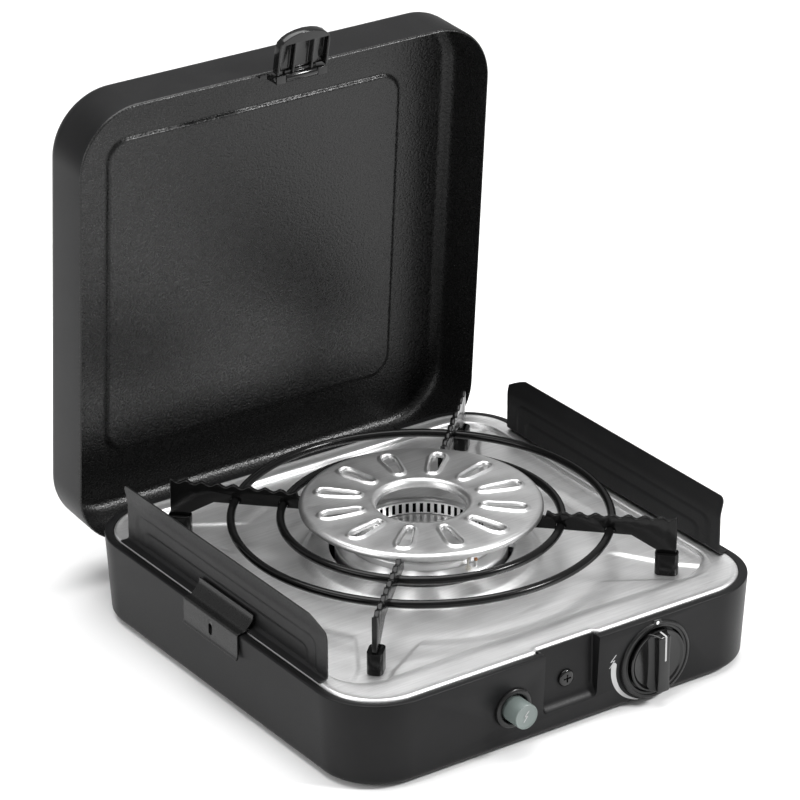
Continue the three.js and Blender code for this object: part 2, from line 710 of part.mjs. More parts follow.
function hingeStrap(x) {
  const back = LID_CENTRE_Y + LID_HALF + GAP;
  const plate = box(
    [x - STRAP_HALF, back, HINGE_Z - BOSS_RADIUS], [x + STRAP_HALF, back + STRAP_THICKNESS, STRAP_TOP]);
  const web = box(
    [x - STRAP_HALF, HINGE_Y, HINGE_Z - BOSS_RADIUS],
    [x + STRAP_HALF, back + STRAP_THICKNESS, HINGE_Z + BOSS_RADIUS - 0.4]);
  const boss = rodX(BOSS_RADIUS, HINGE_Y, HINGE_Z, x - STRAP_HALF, x + STRAP_HALF, 20);
  const bore = rodX(PIN_RADIUS + 0.45, HINGE_Y, HINGE_Z, x - STRAP_HALF - 1, x + STRAP_HALF + 1, 20);
  return cut(join(plate, web, boss), bore);
}

function hingePin(x) {
  return rodX(PIN_RADIUS, HINGE_Y, HINGE_Z, x - LUG_OUTER - 0.6, x + LUG_OUTER + 0.6, 16);
}

function latchMount() {
  const outline = outlineShape([
    [-MOUNT_HALF, MOUNT_TOP], [-MOUNT_HALF, LID_RIM_Z + 2], [-KNUCKLE_OUTER - 0.6, LID_RIM_Z - 0.5],
    [-KNUCKLE_OUTER, LATCH_Z + 3.4], [KNUCKLE_OUTER, LATCH_Z + 3.4], [KNUCKLE_OUTER + 0.6, LID_RIM_Z - 0.5],
    [MOUNT_HALF, LID_RIM_Z + 2], [MOUNT_HALF, MOUNT_TOP],
  ]);
  const plate = prismY(outline, -144.4, -148.2);
  const knuckles = [-1, 1].map((side) => {
    const left = side > 0 ? KNUCKLE_INNER : -KNUCKLE_OUTER;
    const right = side > 0 ? KNUCKLE_OUTER : -KNUCKLE_INNER;
    return box(
      [left, LATCH_Y - KNUCKLE.half, LATCH_Z - KNUCKLE.down],
      [right, LATCH_Y + KNUCKLE.half, LATCH_Z + KNUCKLE.up]);
  });
  const bore = rodX(LATCH_PIN_RADIUS + GAP, LATCH_Y, LATCH_Z, -KNUCKLE_OUTER - 1, KNUCKLE_OUTER + 1, 12);
  return cut(join(plate, ...knuckles), bore);
}

function leverOutline() {
  const points = [[LEVER_HALF, LEVER_TOP_Z], [-LEVER_HALF, LEVER_TOP_Z]];
  const rise = LEVER_SHOULDER_Z - LEVER_TIP_Z;
  const steps = 10;
  for (let step = 0; step <= steps; step += 1) {
    const angle = Math.PI * (1 + step / steps);
    points.push([LEVER_HALF * Math.cos(angle), LEVER_SHOULDER_Z + rise * Math.sin(angle)]);
  }
  return outlineShape(points);
}

function latchLever() {
  const body = prismY(leverOutline(), LEVER_BACK, LEVER_FRONT);
  const pockets = LEVER_POCKETS.map(([left, right]) => box(
    [left, LEVER_FRONT + LEVER_SKIN, POCKET_BOTTOM], [right, LEVER_BACK + 1, LEVER_TOP_Z + 1]));
  const neck = box([-BARREL_HALF, LEVER_FRONT + 0.6, LEVER_TOP_Z - 1], [BARREL_HALF, LATCH_Y, LATCH_Z]);
  const barrel = rodX(BARREL_RADIUS, LATCH_Y, LATCH_Z, -BARREL_HALF, BARREL_HALF);
  const bore = rodX(LATCH_PIN_RADIUS + GAP, LATCH_Y, LATCH_Z, -BARREL_HALF - 1, BARREL_HALF + 1, 12);
  return cut(join(cut(body, ...pockets), neck, barrel), bore);
}

function latchPin() {
  return rodX(LATCH_PIN_RADIUS, LATCH_Y, LATCH_Z, -KNUCKLE_OUTER + 0.2, KNUCKLE_OUTER - 0.2, 12);
}

// ---------- controls ----------

function knob() {
  const disc = rodY(KNOB_RADIUS, KNOB_X, CONTROL_Z, KNOB_BACK, KNOB_BACK - KNOB_DISC, 36);
  const gripReach = Math.sqrt(KNOB_RADIUS ** 2 - GRIP_HALF_WIDTH ** 2) - 0.5;
  const grip = box(
    [KNOB_X - GRIP_HALF_WIDTH, KNOB_FRONT, CONTROL_Z - gripReach],
    [KNOB_X + GRIP_HALF_WIDTH, KNOB_BACK - 1, CONTROL_Z + gripReach]);
  const bore = rodY(STEM_RADIUS + 0.4, KNOB_X, CONTROL_Z, KNOB_BACK + 1, KNOB_FRONT + 1.3, 16);
  const groove = box(
    [KNOB_X + POINTER.x - POINTER.half - 0.2, KNOB_FRONT - 1, CONTROL_Z + POINTER.low - 0.2],
    [KNOB_X + POINTER.x + POINTER.half + 0.2, KNOB_FRONT + POINTER.depth, CONTROL_Z + POINTER.high + 0.2]);
  return cut(join(disc, grip), bore, groove);
}

function knobPointer() {
  const x = KNOB_X + POINTER.x;
  return box(
    [x - POINTER.half, KNOB_FRONT + 0.02, CONTROL_Z + POINTER.low],
    [x + POINTER.half, KNOB_FRONT + POINTER.depth - 0.2, CONTROL_Z + POINTER.high]);
}

function valveStem() {
  const rod = rodY(STEM_RADIUS, KNOB_X, CONTROL_Z, VALVE_Y + 3, STEM_FRONT, 16);
  const flat = box([KNOB_X + 2, STEM_FRONT - 1, CONTROL_Z - 4], [KNOB_X + 4, -148, CONTROL_Z + 4]);
  return cut(rod, flat);
}

function valveBody() {
  const barrel = rodY(VALVE_RADIUS, KNOB_X, CONTROL_Z, VALVE_Y + VALVE_LENGTH, VALVE_Y, 20);
  const block = box(
    [KNOB_X - VALVE_RADIUS, VALVE_Y + 8, CONTROL_Z - 11],
    [KNOB_X + VALVE_RADIUS, VALVE_Y + 26, CONTROL_Z + 8]);
  const bore = rodY(STEM_RADIUS + 0.4, KNOB_X, CONTROL_Z, VALVE_Y + 8, VALVE_Y - 1, 16);
  return cut(join(barrel, block), bore);
}

function igniterButton() {
  const disc = (radius, back, front, sides = 28) => rodY(radius, IGNITER_X, CONTROL_Z, back, front, sides);
  const cap = disc(BUTTON_RADIUS, BUTTON_FLANGE.front - 0.5, BUTTON_FRONT);
  const flange = disc(BUTTON_FLANGE.radius, BUTTON_FLANGE.back, BUTTON_FLANGE.front);
  const neck = disc(BUTTON_RADIUS, BUTTON_FLANGE.back - 1, BUTTON_FLANGE.front - 2);
  const stem = disc(2.5, BUTTON_STEM_END, BUTTON_FLANGE.back - 1, 12);
  return join(cap, neck, flange, stem);
}

function igniterSpring() {
  const turns = 4;
  const steps = 12 * turns;
  const length = 8;
  const points = [];
  for (let step = 0; step <= steps; step += 1) {
    const angle = (2 * Math.PI * turns * step) / steps;
    const y = BUTTON_FLANGE.back + BUTTON_TRAVEL + 1 + (length * step) / steps;
    points.push([IGNITER_X + 5 * Math.cos(angle), y, CONTROL_Z + 5 * Math.sin(angle)]);
  }
  return pipe(0.5, points, steps, 3);
}

function igniterModule() {
  const barrel = rodY(MODULE_RADIUS, IGNITER_X, CONTROL_Z, MODULE_FRONT + MODULE_LENGTH, MODULE_FRONT, 24);
  const stand = box(
    [IGNITER_X - 6, MODULE_FRONT + 4, FLOOR_THICKNESS + 0.2],
    [IGNITER_X + 6, MODULE_FRONT + 30, CONTROL_Z - 5]);
  return join(barrel, stand);
}

// ---------- gas and ignition ----------

function gasInlet() {
  const body = rodY(INLET.body, INLET.x, INLET.z, 152.5, INLET.inside, 20);
  const nut = rodY(INLET.nut, INLET.x, INLET.z, 153.5, 150.6, 6);
  const tail = rodY(4, INLET.x, INLET.z, INLET.tail, 152, 16);
  const barbs = [158, 164, 170].map((y) => rodY(4.8, INLET.x, INLET.z, y + 2, y, 16));
  return join(body, nut, tail, ...barbs);
}

function supplyPipe() {
  const valveSide = KNOB_X + VALVE_RADIUS + GAP;
  return pipe(2.6, [
    [INLET.x, INLET.inside - GAP, INLET.z],
    [INLET.x, 128, INLET.z],
    [110, 96, 12],
    [116, 20, 10],
    [112, -70, 11],
    [98, -108, 18],
    [86, -118, CONTROL_Z],
    [valveSide, -119, CONTROL_Z],
  ], 36, 8);
}

function gasJet() {
  return join(
    rodY(4.2, KNOB_X, CONTROL_Z, VALVE_Y + 44, VALVE_Y + VALVE_LENGTH + GAP, 16),
    rodY(2, KNOB_X, CONTROL_Z, VALVE_Y + 47, VALVE_Y + 43, 12));
}

function mixingTube() {
  const mouth = [KNOB_X, VALVE_Y + 50, CONTROL_Z + 1];
  const end = [BURNER_RADIUS - 1.6, BURNER_Y, TUBE_Z];
  const path = [
    mouth,
    [64, -55, 30],
    [67, -26, 35],
    [64, -8, TUBE_Z],
    [56, BURNER_Y - 1, TUBE_Z],
    end,
  ];
  const bore = [[mouth[0] - 1, mouth[1] - PAST, mouth[2]], ...path, [end[0] - PAST, end[1], end[2]]];
  return cut(pipe(TUBE_RADIUS.outer, path, 26, 7), pipe(TUBE_RADIUS.bore, bore, 34, 7));
}

function probe({ x, y, radius, wire, shoulder, tip }) {
  return join(
    rodZ(radius, x, y, PROBE_BOTTOM, shoulder, 12),
    rodZ(wire, x, y, shoulder - 1, tip, 10));
}

function ignitionLead() {
  return pipe(1.1, [
    [IGNITER_X, MODULE_FRONT + MODULE_LENGTH + GAP, CONTROL_Z],
    [IGNITER_X + 2, -84, CONTROL_Z],
    [-28, -66, 24],
    [-8, -54, 24],
    [ELECTRODE.x, ELECTRODE.y, 32],
    [ELECTRODE.x, ELECTRODE.y, PROBE_BOTTOM - GAP],
  ], 20, 3);
}

function thermocoupleLead() {
  return pipe(0.8, [
    [KNOB_X - VALVE_RADIUS - GAP, VALVE_Y + 16, CONTROL_Z - 6],
    [44, VALVE_Y + 17, CONTROL_Z - 8],
    [26, -100, 14],
    [14, -66, 16],
    [SENSOR.x, SENSOR.y, 30],
    [SENSOR.x, SENSOR.y, PROBE_BOTTOM - GAP],
  ], 20, 3);
}

// ---------- assembly ----------

function piece(name, geometry, finish) {
  const flat = geometry.index ? geometry.toNonIndexed() : geometry;
  flat.computeVertexNormals();
  const mesh = new THREE.Mesh(flat, new THREE.MeshStandardMaterial(COLOURS[finish]));
  mesh.name = name;
  return mesh;
}

// A group whose children are drawn in the parent's frame and then turned about an X axis through (0, y, z).
function swungAboutX(y, z, degrees, children) {
  const turn = new THREE.Group();
  turn.position.set(0, y, z);
  turn.rotation.x = -THREE.MathUtils.degToRad(degrees);
  const drawn = new THREE.Group();
  drawn.position.set(0, -y, -z);
  drawn.add(...children);
  turn.add(drawn);
  return turn;
}

function halfTurned(mesh) {
  mesh.rotation.z = Math.PI;
  return mesh;
}

const stove = new THREE.Group();
stove.add(piece("case_shell", caseShell(), "case"));
[["front_left", -1, -1], ["front_right", 1, -1], ["rear_left", -1, 1], ["rear_right", 1, 1]]
  .forEach(([place, sx, sy]) => {
    stove.add(piece(`case_foot_${place}`, foot(sx * FOOT_OFFSET, sy * FOOT_OFFSET), "rubber"));
    const angle = Math.atan2(sy, sx);
    stove.add(piece(`support_arm_${place}`, arm(angle), "enamel"));
    stove.add(piece(`support_shoe_${place}`, shoe(angle), "rubber"));
  });
stove.add(
  piece("catch_screw", catchScrew(), "steel"),
  piece("drip_tray", tray(), "steel"),
  piece("burner_body", burnerBody(), "steel"),
  piece("burner_port_ring", portRing(), "steel"),
  piece("burner_centre_plate", centrePlate(), "steel"),
  piece("burner_shroud", shroud(), "steel"),
  piece("flame_spreader", spreader(), "steel"),
  piece("support_ring_outer", supportRing(RING_RADII.outer), "enamel"),
  piece("support_ring_inner", supportRing(RING_RADII.inner), "enamel"),
  piece("windscreen_right", screenSheet(), "enamel"),
  piece("windscreen_clip_right", screenClip(), "enamel"),
  halfTurned(piece("windscreen_left", screenSheet(), "enamel")),
  halfTurned(piece("windscreen_clip_left", screenClip(), "enamel")),
  piece("hinge_pin_left", hingePin(-HINGE_X), "steel"),
  piece("hinge_pin_right", hingePin(HINGE_X), "steel"),
  piece("control_knob", knob(), "case"),
  piece("knob_pointer", knobPointer(), "marker"),
  piece("valve_stem", valveStem(), "brass"),
  piece("valve_body", valveBody(), "brass"),
  piece("gas_jet", gasJet(), "brass"),
  piece("mixing_tube", mixingTube(), "aluminium"),
  piece("gas_inlet", gasInlet(), "brass"),
  piece("supply_pipe", supplyPipe(), "copper"),
  piece("igniter_button", igniterButton(), "button"),
  piece("igniter_spring", igniterSpring(), "steel"),
  piece("igniter_module", igniterModule(), "case"),
  piece("ignition_electrode", probe(ELECTRODE), "ceramic"),
  piece("ignition_lead", ignitionLead(), "rubber"),
  piece("thermocouple", probe(SENSOR), "copper"),
  piece("thermocouple_lead", thermocoupleLead(), "copper"));

const latch = swungAboutX(LATCH_Y, LATCH_Z, LATCH_OPEN_DEG, [piece("latch_lever", latchLever(), "case")]);
const lid = swungAboutX(HINGE_Y, HINGE_Z, LID_OPEN_DEG, [
  piece("lid_shell", lidShell(), "case"),
  piece("hinge_strap_left", hingeStrap(-HINGE_X), "steel"),
  piece("hinge_strap_right", hingeStrap(HINGE_X), "steel"),
  piece("latch_mount", latchMount(), "case"),
  piece("latch_pin", latchPin(), "steel"),
  latch,
]);
stove.add(lid);
stove.position.set(0, -FOOTPRINT_CENTRE_Y, FOOT_HEIGHT);

const stoveOnItsFeet = new THREE.Group();
stoveOnItsFeet.add(stove);

export default stoveOnItsFeet;
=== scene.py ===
"""Looks of the camping stove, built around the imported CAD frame.

Sizes are in millimetres from the stove's datum, unless metres are stated. The datum is at the centre of the
tray in plan and at the underside of the case.
"""
import math

import bmesh
import bpy
from mathutils import Matrix, Vector


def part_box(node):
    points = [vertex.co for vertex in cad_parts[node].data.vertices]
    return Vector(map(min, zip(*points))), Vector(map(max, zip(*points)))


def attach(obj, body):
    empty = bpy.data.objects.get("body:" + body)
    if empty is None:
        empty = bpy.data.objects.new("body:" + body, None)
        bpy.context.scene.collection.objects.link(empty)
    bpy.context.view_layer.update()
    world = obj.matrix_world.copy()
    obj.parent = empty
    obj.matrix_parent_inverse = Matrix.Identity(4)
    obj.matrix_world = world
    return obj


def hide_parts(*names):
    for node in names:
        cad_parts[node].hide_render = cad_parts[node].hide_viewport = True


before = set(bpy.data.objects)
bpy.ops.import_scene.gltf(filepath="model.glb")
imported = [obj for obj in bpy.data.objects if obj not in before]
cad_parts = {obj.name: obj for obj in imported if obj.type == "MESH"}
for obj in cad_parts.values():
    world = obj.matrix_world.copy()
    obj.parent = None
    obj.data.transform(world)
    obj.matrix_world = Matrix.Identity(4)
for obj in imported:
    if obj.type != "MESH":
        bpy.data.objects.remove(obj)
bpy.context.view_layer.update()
MM = 0.001
TAU = 2 * math.pi

tray_low, tray_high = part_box("drip_tray")
case_low, case_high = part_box("case_shell")
DATUM = Vector(((tray_low.x + tray_high.x) / 2, (tray_low.y + tray_high.y) / 2, case_low.z))

# Case
CASE_HALF = 150
CASE_HEIGHT = 53.8
CASE_DRAFT = 3.1
CORNER_RADIUS = 40
CORNER_STEPS = 20
RECESS_HALF = 19.4
RECESS_Y = -143
CATCH_Z = 30.6
HINGE_POCKETS = (-75, 75)
INLET_X = 96
INLET_Z = 13.5

# Controls
CONTROL_Z = 26.5
KNOB_X = 61
KNOB_HOLE = 22.6
IGNITER_X = -41.5
BUTTON_HOLE = 10.6

# Burner and pan support
BURNER_Y = 1.8
BURNER_CENTRE = (0, BURNER_Y)
RING_Z = 75.8
RING_ROD = 2.6

# Lid, drawn shut
HINGE = (0, 135.87, 35.96)
LID_OPEN = math.radians(85.86)
LID_HALF = 147.3
LID_CENTRE_Y = -1.2
LID_RIM_Z = 56
LID_DEPTH = 40
LID_DRAFT = 0.4
LID_SHEET = 1.4

SHARP_ANGLE = 35  # degrees; sharper edges are shaded as edges
PLACES = ("front_left", "front_right", "rear_left", "rear_right")


# ---------- making pieces ----------

def swing(pivot, angle):
    """Turns about an X axis through the pivot, by minus the angle."""
    there = Matrix.Translation(Vector(pivot))
    return there @ Matrix.Rotation(-angle, 4, "X") @ there.inverted()


LID_TURN = swing(HINGE, LID_OPEN)
HALF_TURN = Matrix.Rotation(math.pi, 4, "Z")


def piece(name, shape, body, materials, replaces=(), turn=None, sharp=SHARP_ANGLE):
    """One object from (vertices, faces) in stove millimetres, riding on a CAD body."""
    vertices, faces = shape
    mesh = bpy.data.meshes.new(name)
    points = [Vector(v) for v in vertices]
    if turn is not None:
        points = [turn @ p for p in points]
    mesh.from_pydata([DATUM + p * MM for p in points], [], faces)
    thing = bpy.data.objects.new(name, mesh)
    bpy.context.scene.collection.objects.link(thing)
    for material in materials if isinstance(materials, (list, tuple)) else [materials]:
        mesh.materials.append(material)
    tidy_normals(mesh)
    smooth(mesh, sharp)
    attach(thing, body)
    if replaces:
        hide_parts(*replaces)
    return thing


def tidy_normals(mesh):
    """Joins points that coincide and turns the faces the same way."""
    work = bmesh.new()
    work.from_mesh(mesh)
    bmesh.ops.remove_doubles(work, verts=work.verts, dist=1e-6)
    bmesh.ops.recalc_face_normals(work, faces=work.faces)
    work.to_mesh(mesh)
    work.free()


def face_towards(thing, direction):
    """Turns an open sheet's faces so that most of them look in a direction."""
    towards = Vector(direction)
    total = sum(polygon.normal.dot(towards) * polygon.area for polygon in thing.data.polygons)
    if total < 0:
        thing.data.flip_normals()


def smooth(mesh, sharp):
    """Shades the faces smoothly, except across edges sharper than an angle in degrees."""
    mesh.polygons.foreach_set("use_smooth", [True] * len(mesh.polygons))
    mesh.set_sharp_from_angle(angle=math.radians(sharp))


def bake(thing):
    """Replaces the object's mesh by what its modifiers make of it."""
    bpy.context.view_layer.update()
    seen = thing.evaluated_get(bpy.context.evaluated_depsgraph_get())
    mesh = bpy.data.meshes.new_from_object(seen)
    thing.modifiers.clear()
    thing.data = mesh
    smooth(mesh, SHARP_ANGLE)


def bevelled(thing, width, segments=2, angle=38):
    """Rounds the edges that turn by more than an angle in degrees."""
    bevel = thing.modifiers.new("edge", "BEVEL")
    bevel.width = width * MM
    bevel.segments = segments
    bevel.limit_method = "ANGLE"
    bevel.angle_limit = math.radians(angle)
    bevel.harden_normals = False
    bake(thing)


def thickened(thing, thickness):
    """Gives an open sheet its thickness, behind the face that was drawn."""
    solid = thing.modifiers.new("sheet", "SOLIDIFY")
    solid.thickness = thickness * MM
    solid.offset = -1
    bake(thing)


def cut_away(thing, shapes, operation="DIFFERENCE"):
    """Cuts shapes out of an object one after another, or joins them to it."""
    for number, (vertices, faces) in enumerate(shapes):
        mesh = bpy.data.meshes.new("cutter")
        mesh.from_pydata([DATUM + Vector(v) * MM for v in vertices], [], faces)
        tidy_normals(mesh)
        cutter = bpy.data.objects.new("cutter", mesh)
        bpy.context.scene.collection.objects.link(cutter)
        boolean = thing.modifiers.new(f"cut{number}", "BOOLEAN")
        boolean.operation = operation
        boolean.solver = "EXACT"
        boolean.object = cutter
        bake(thing)
        bpy.data.objects.remove(cutter)


def from_cad(node, name, body, material, width, segments=2, angle=38):
    """A copy of a CAD node with its flat facets merged and its edges rounded."""
    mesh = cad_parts[node].data.copy()
    work = bmesh.new()
    work.from_mesh(mesh)
    bmesh.ops.remove_doubles(work, verts=work.verts, dist=2e-6)
    bmesh.ops.dissolve_limit(
        work, angle_limit=math.radians(1), verts=work.verts, edges=work.edges,
        use_dissolve_boundaries=False)
    work.to_mesh(mesh)
    work.free()
    mesh.materials.clear()
    mesh.materials.append(material)
    thing = bpy.data.objects.new(name, mesh)
    bpy.context.scene.collection.objects.link(thing)
    bevelled(thing, width, segments, angle)
    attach(thing, body)
    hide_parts(node)


# ---------- shapes ----------

def loft(rings, close_rings=True, caps=False, loop=False):
    """Faces between rings of equal length."""
    count = len(rings[0])
    vertices = [point for ring in rings for point in ring]
    faces = []
    pairs = len(rings) if loop else len(rings) - 1
    for level in range(pairs):
        here = level * count
        there = ((level + 1) % len(rings)) * count
        for i in range(count if close_rings else count - 1):
            j = (i + 1) % count
            faces.append((here + i, here + j, there + j, there + i))
    if caps:
        last = (len(rings) - 1) * count
        faces.append(tuple(reversed(range(count))))
        faces.append(tuple(range(last, last + count)))
    return vertices, faces


def around(radius, steps, centre):
    """Points round a circle."""
    cx, cy = centre
    return [
        (cx + radius * math.cos(TAU * i / steps), cy + radius * math.sin(TAU * i / steps))
        for i in range(steps)]


def rounded_outline(half_x, half_y, radius, steps=CORNER_STEPS):
    """A rectangle with round corners, anticlockwise."""
    points = []
    for corner in range(4):
        start = corner * math.pi / 2
        sx = 1 if corner in (0, 3) else -1
        sy = 1 if corner in (0, 1) else -1
        for step in range(steps + 1):
            angle = start + step / steps * math.pi / 2
            points.append((
                sx * (half_x - radius) + radius * math.cos(angle),
                sy * (half_y - radius) + radius * math.sin(angle)))
    return points


def square_stack(levels, centre_y=0):
    """Rings for (half side, corner radius, height)."""
    return [
        [(x, y + centre_y, z) for x, y in rounded_outline(half, half, max(radius, 0.5))]
        for half, radius, z in levels]


def lathe(profile, steps, centre, loop=False):
    """Turned about a vertical axis, from (radius, height)."""
    rings = [[(x, y, height) for x, y in around(radius, steps, centre)] for radius, height in profile]
    return loft(rings, loop=loop)


def lathe_y(profile, x, z, steps, caps=False):
    """Turned about an axis along Y, from (radius, y)."""
    rings = [[(across, y, up) for across, up in around(radius, steps, (x, z))] for radius, y in profile]
    return loft(rings, caps=caps)


def block(low, high):
    """A box between two corners."""
    xs, ys, zs = zip(low, high)
    ring = [(xs[0], ys[0]), (xs[1], ys[0]), (xs[1], ys[1]), (xs[0], ys[1])]
    return loft([[(x, y, z) for x, y in ring] for z in zs], caps=True)


def torus(radius, rod, height):
    """A round rod bent into a ring about the burner's axis."""
    steps, sides = 192, 18
    rings = []
    for i in range(steps):
        angle = TAU * i / steps
        rings.append([
            (reach * math.cos(angle), BURNER_Y + reach * math.sin(angle), rise)
            for reach, rise in around(rod, sides, (radius, height))])
    return loft(rings, loop=True)


def ease(value):
    """Rises smoothly from 0 to 1 as the value does."""
    value = min(1, max(0, value))
    return value * value * (3 - 2 * value)


# ---------- materials ----------

NOISE_SPAN = (0.3, 0.7)  # the values that a noise texture mostly keeps to


def new_material(name):
    """A material, its nodes and links, and its main shader."""
    material = bpy.data.materials.new(name)
    material.use_nodes = True
    nodes = material.node_tree.nodes
    shader = nodes["Principled BSDF"]
    return material, nodes, material.node_tree.links, shader


def noise(nodes, links, scale, detail=4, stretch=(1, 1, 1)):
    """Noise over the object's own millimetres."""
    place = nodes.new("ShaderNodeTexCoord")
    mapping = nodes.new("ShaderNodeMapping")
    mapping.inputs["Scale"].default_value = [s / MM for s in stretch]
    links.new(place.outputs["Object"], mapping.inputs["Vector"])
    texture = nodes.new("ShaderNodeTexNoise")
    texture.inputs["Scale"].default_value = 1 / scale
    texture.inputs["Detail"].default_value = detail
    texture.inputs["Roughness"].default_value = 0.55
    links.new(mapping.outputs["Vector"], texture.inputs["Vector"])
    return texture.outputs["Fac"]


def ramp(nodes, links, source, low, high):
    """A value that goes from low to high with the noise."""
    mapped = nodes.new("ShaderNodeMapRange")
    mapped.inputs["From Min"].default_value = NOISE_SPAN[0]
    mapped.inputs["From Max"].default_value = NOISE_SPAN[1]
    mapped.inputs["To Min"].default_value = low
    mapped.inputs["To Max"].default_value = high
    links.new(source, mapped.inputs["Value"])
    return mapped.outputs["Result"]


def tint(nodes, links, source, dark, light, span=NOISE_SPAN):
    """A colour that goes from dark to light with the noise."""
    colours = nodes.new("ShaderNodeValToRGB")
    for element, position, colour in zip(colours.color_ramp.elements, span, (dark, light)):
        element.position = position
        element.color = (*colour, 1)
    links.new(source, colours.inputs["Fac"])
    return colours.outputs["Color"]


def bump(nodes, links, source, distance, under=None):
    """A bump of some millimetres, on top of another one if given."""
    made = nodes.new("ShaderNodeBump")
    made.inputs["Strength"].default_value = 1
    made.inputs["Distance"].default_value = distance * MM
    links.new(source, made.inputs["Height"])
    if under is not None:
        links.new(under, made.inputs["Normal"])
    return made.outputs["Normal"]


def grey(value):
    """A colour with equal parts."""
    return (value, value, value)


def black_moulding(name, dark, light, roughness, grain, depth, specular=0.5):
    """Dyed plastic, paint or glaze with a fine grain, most often black."""
    cloud_size, fine_size = 22, 0.25
    material, nodes, links, shader = new_material(name)
    cloud = noise(nodes, links, cloud_size, 3)
    links.new(tint(nodes, links, cloud, dark, light), shader.inputs["Base Color"])
    speck = noise(nodes, links, grain, 3)
    links.new(ramp(nodes, links, speck, roughness - 0.05, roughness + 0.06), shader.inputs["Roughness"])
    shader.inputs["Specular IOR Level"].default_value = specular
    coarse = bump(nodes, links, speck, depth)
    fine = bump(nodes, links, noise(nodes, links, fine_size, 2), depth * 0.25, coarse)
    links.new(fine, shader.inputs["Normal"])
    return material


def orange_peel(name, dark, light, size, depth):
    """Dyed black plastic with a pebbled, leather-like face."""
    material, nodes, links, shader = new_material(name)
    pebble = noise(nodes, links, size, 2)
    links.new(tint(nodes, links, pebble, dark, light, (0.36, 0.64)), shader.inputs["Base Color"])
    links.new(ramp(nodes, links, pebble, 0.22, 0.34), shader.inputs["Roughness"])
    shader.inputs["Specular IOR Level"].default_value = 0.32
    links.new(bump(nodes, links, pebble, depth), shader.inputs["Normal"])
    return material


def steel(name, dark, light, roughness, stretch, brushing):
    """Brushed stainless sheet: long fine scratches along one direction, with soft cloudy patches."""
    cloud_size, streak_size, scratch_size = 45, 1.2, 0.35
    material, nodes, links, shader = new_material(name)
    shader.inputs["Metallic"].default_value = 1
    cloud = noise(nodes, links, cloud_size, 3)
    scratch = noise(nodes, links, scratch_size, 4, stretch)
    streaks = nodes.new("ShaderNodeMix")
    streaks.inputs["Factor"].default_value = 0.6
    links.new(cloud, streaks.inputs["A"])
    links.new(noise(nodes, links, streak_size, 3, stretch), streaks.inputs["B"])
    links.new(tint(nodes, links, streaks.outputs["Result"], dark, light), shader.inputs["Base Color"])
    links.new(ramp(nodes, links, scratch, roughness - 0.06, roughness + 0.08), shader.inputs["Roughness"])
    links.new(bump(nodes, links, scratch, brushing), shader.inputs["Normal"])
    return material


def plain_metal(name, dark, light, roughness):
    """Cast, plated or drawn metal with a faint mottle."""
    material, nodes, links, shader = new_material(name)
    shader.inputs["Metallic"].default_value = 1
    cloud = noise(nodes, links, 6, 4)
    links.new(tint(nodes, links, cloud, dark, light), shader.inputs["Base Color"])
    links.new(ramp(nodes, links, noise(nodes, links, 1.1, 4), roughness - 0.07, roughness + 0.1),
              shader.inputs["Roughness"])
    links.new(bump(nodes, links, noise(nodes, links, 0.5, 3), 0.01), shader.inputs["Normal"])
    return material


def button_resin():
    """Grey-green moulded plastic with a soft, even face."""
    material, nodes, links, shader = new_material("button_resin")
    cloud = noise(nodes, links, 12, 1)
    dark, light = (0.132, 0.158, 0.150), (0.150, 0.178, 0.170)
    links.new(tint(nodes, links, cloud, dark, light), shader.inputs["Base Color"])
    links.new(ramp(nodes, links, noise(nodes, links, 3, 1), 0.3, 0.38), shader.inputs["Roughness"])
    links.new(bump(nodes, links, noise(nodes, links, 4, 1), 0.004), shader.inputs["Normal"])
    return material


CASE_BLACK = black_moulding(
    "case_black", (0.006, 0.006, 0.0063), (0.0085, 0.0085, 0.0088),
    roughness=0.4, grain=0.7, depth=0.02, specular=0.15)
LID_INSIDE = orange_peel("orange_peel_black", grey(0.006), grey(0.0095), size=1.4, depth=0.3)
FINE_BLACK = black_moulding(
    "fine_black", grey(0.0065), grey(0.0095), roughness=0.3, grain=0.8, depth=0.006, specular=0.32)
SHEET_BLACK = black_moulding(
    "sheet_black", (0.007, 0.007, 0.0073), (0.0095, 0.0095, 0.0098),
    roughness=0.42, grain=1.6, depth=0.006, specular=0.2)
ENAMEL = black_moulding(
    "enamel_black", grey(0.003), grey(0.005), roughness=0.17, grain=1.4, depth=0.006, specular=0.22)
RUBBER = black_moulding(
    "rubber_black", grey(0.003), grey(0.005), roughness=0.18, grain=0.9, depth=0.003, specular=0.12)
GLOSS_BLACK = black_moulding(
    "gloss_black", grey(0.004), grey(0.006), roughness=0.15, grain=0.8, depth=0.002, specular=0.4)
# Near-black matte colour: painted shade for the insides of the burner's port slots.
PORT_SLOT_SHADE = black_moulding(
    "painted_port_shade", grey(0.002), grey(0.004), roughness=0.8, grain=0.8, depth=0.01, specular=0.1)
TRAY_STEEL = steel(
    "tray_steel", grey(0.64), grey(0.80), roughness=0.44, stretch=(0.02, 1, 1), brushing=0.010)
CAP_STEEL = steel(
    "spreader_steel", grey(0.55), grey(0.70), roughness=0.36, stretch=(0.02, 1, 1), brushing=0.008)
BURNER_STEEL = steel(
    "burner_steel", grey(0.76), grey(0.84), roughness=0.36, stretch=(0.03, 0.03, 1), brushing=0.006)
ZINC = plain_metal("zinc_plate", grey(0.45), grey(0.6), roughness=0.35)
BRASS = plain_metal("brass_part", (0.42, 0.29, 0.10), (0.60, 0.43, 0.17), roughness=0.32)
COPPER = plain_metal("copper_part", (0.45, 0.20, 0.09), (0.62, 0.30, 0.15), roughness=0.35)
ALUMINIUM = plain_metal("aluminium_part", (0.42, 0.42, 0.43), (0.55, 0.55, 0.56), roughness=0.42)
CERAMIC = black_moulding(
    "glazed_ceramic", (0.66, 0.63, 0.56), (0.76, 0.73, 0.66), roughness=0.25, grain=1.2, depth=0.004)
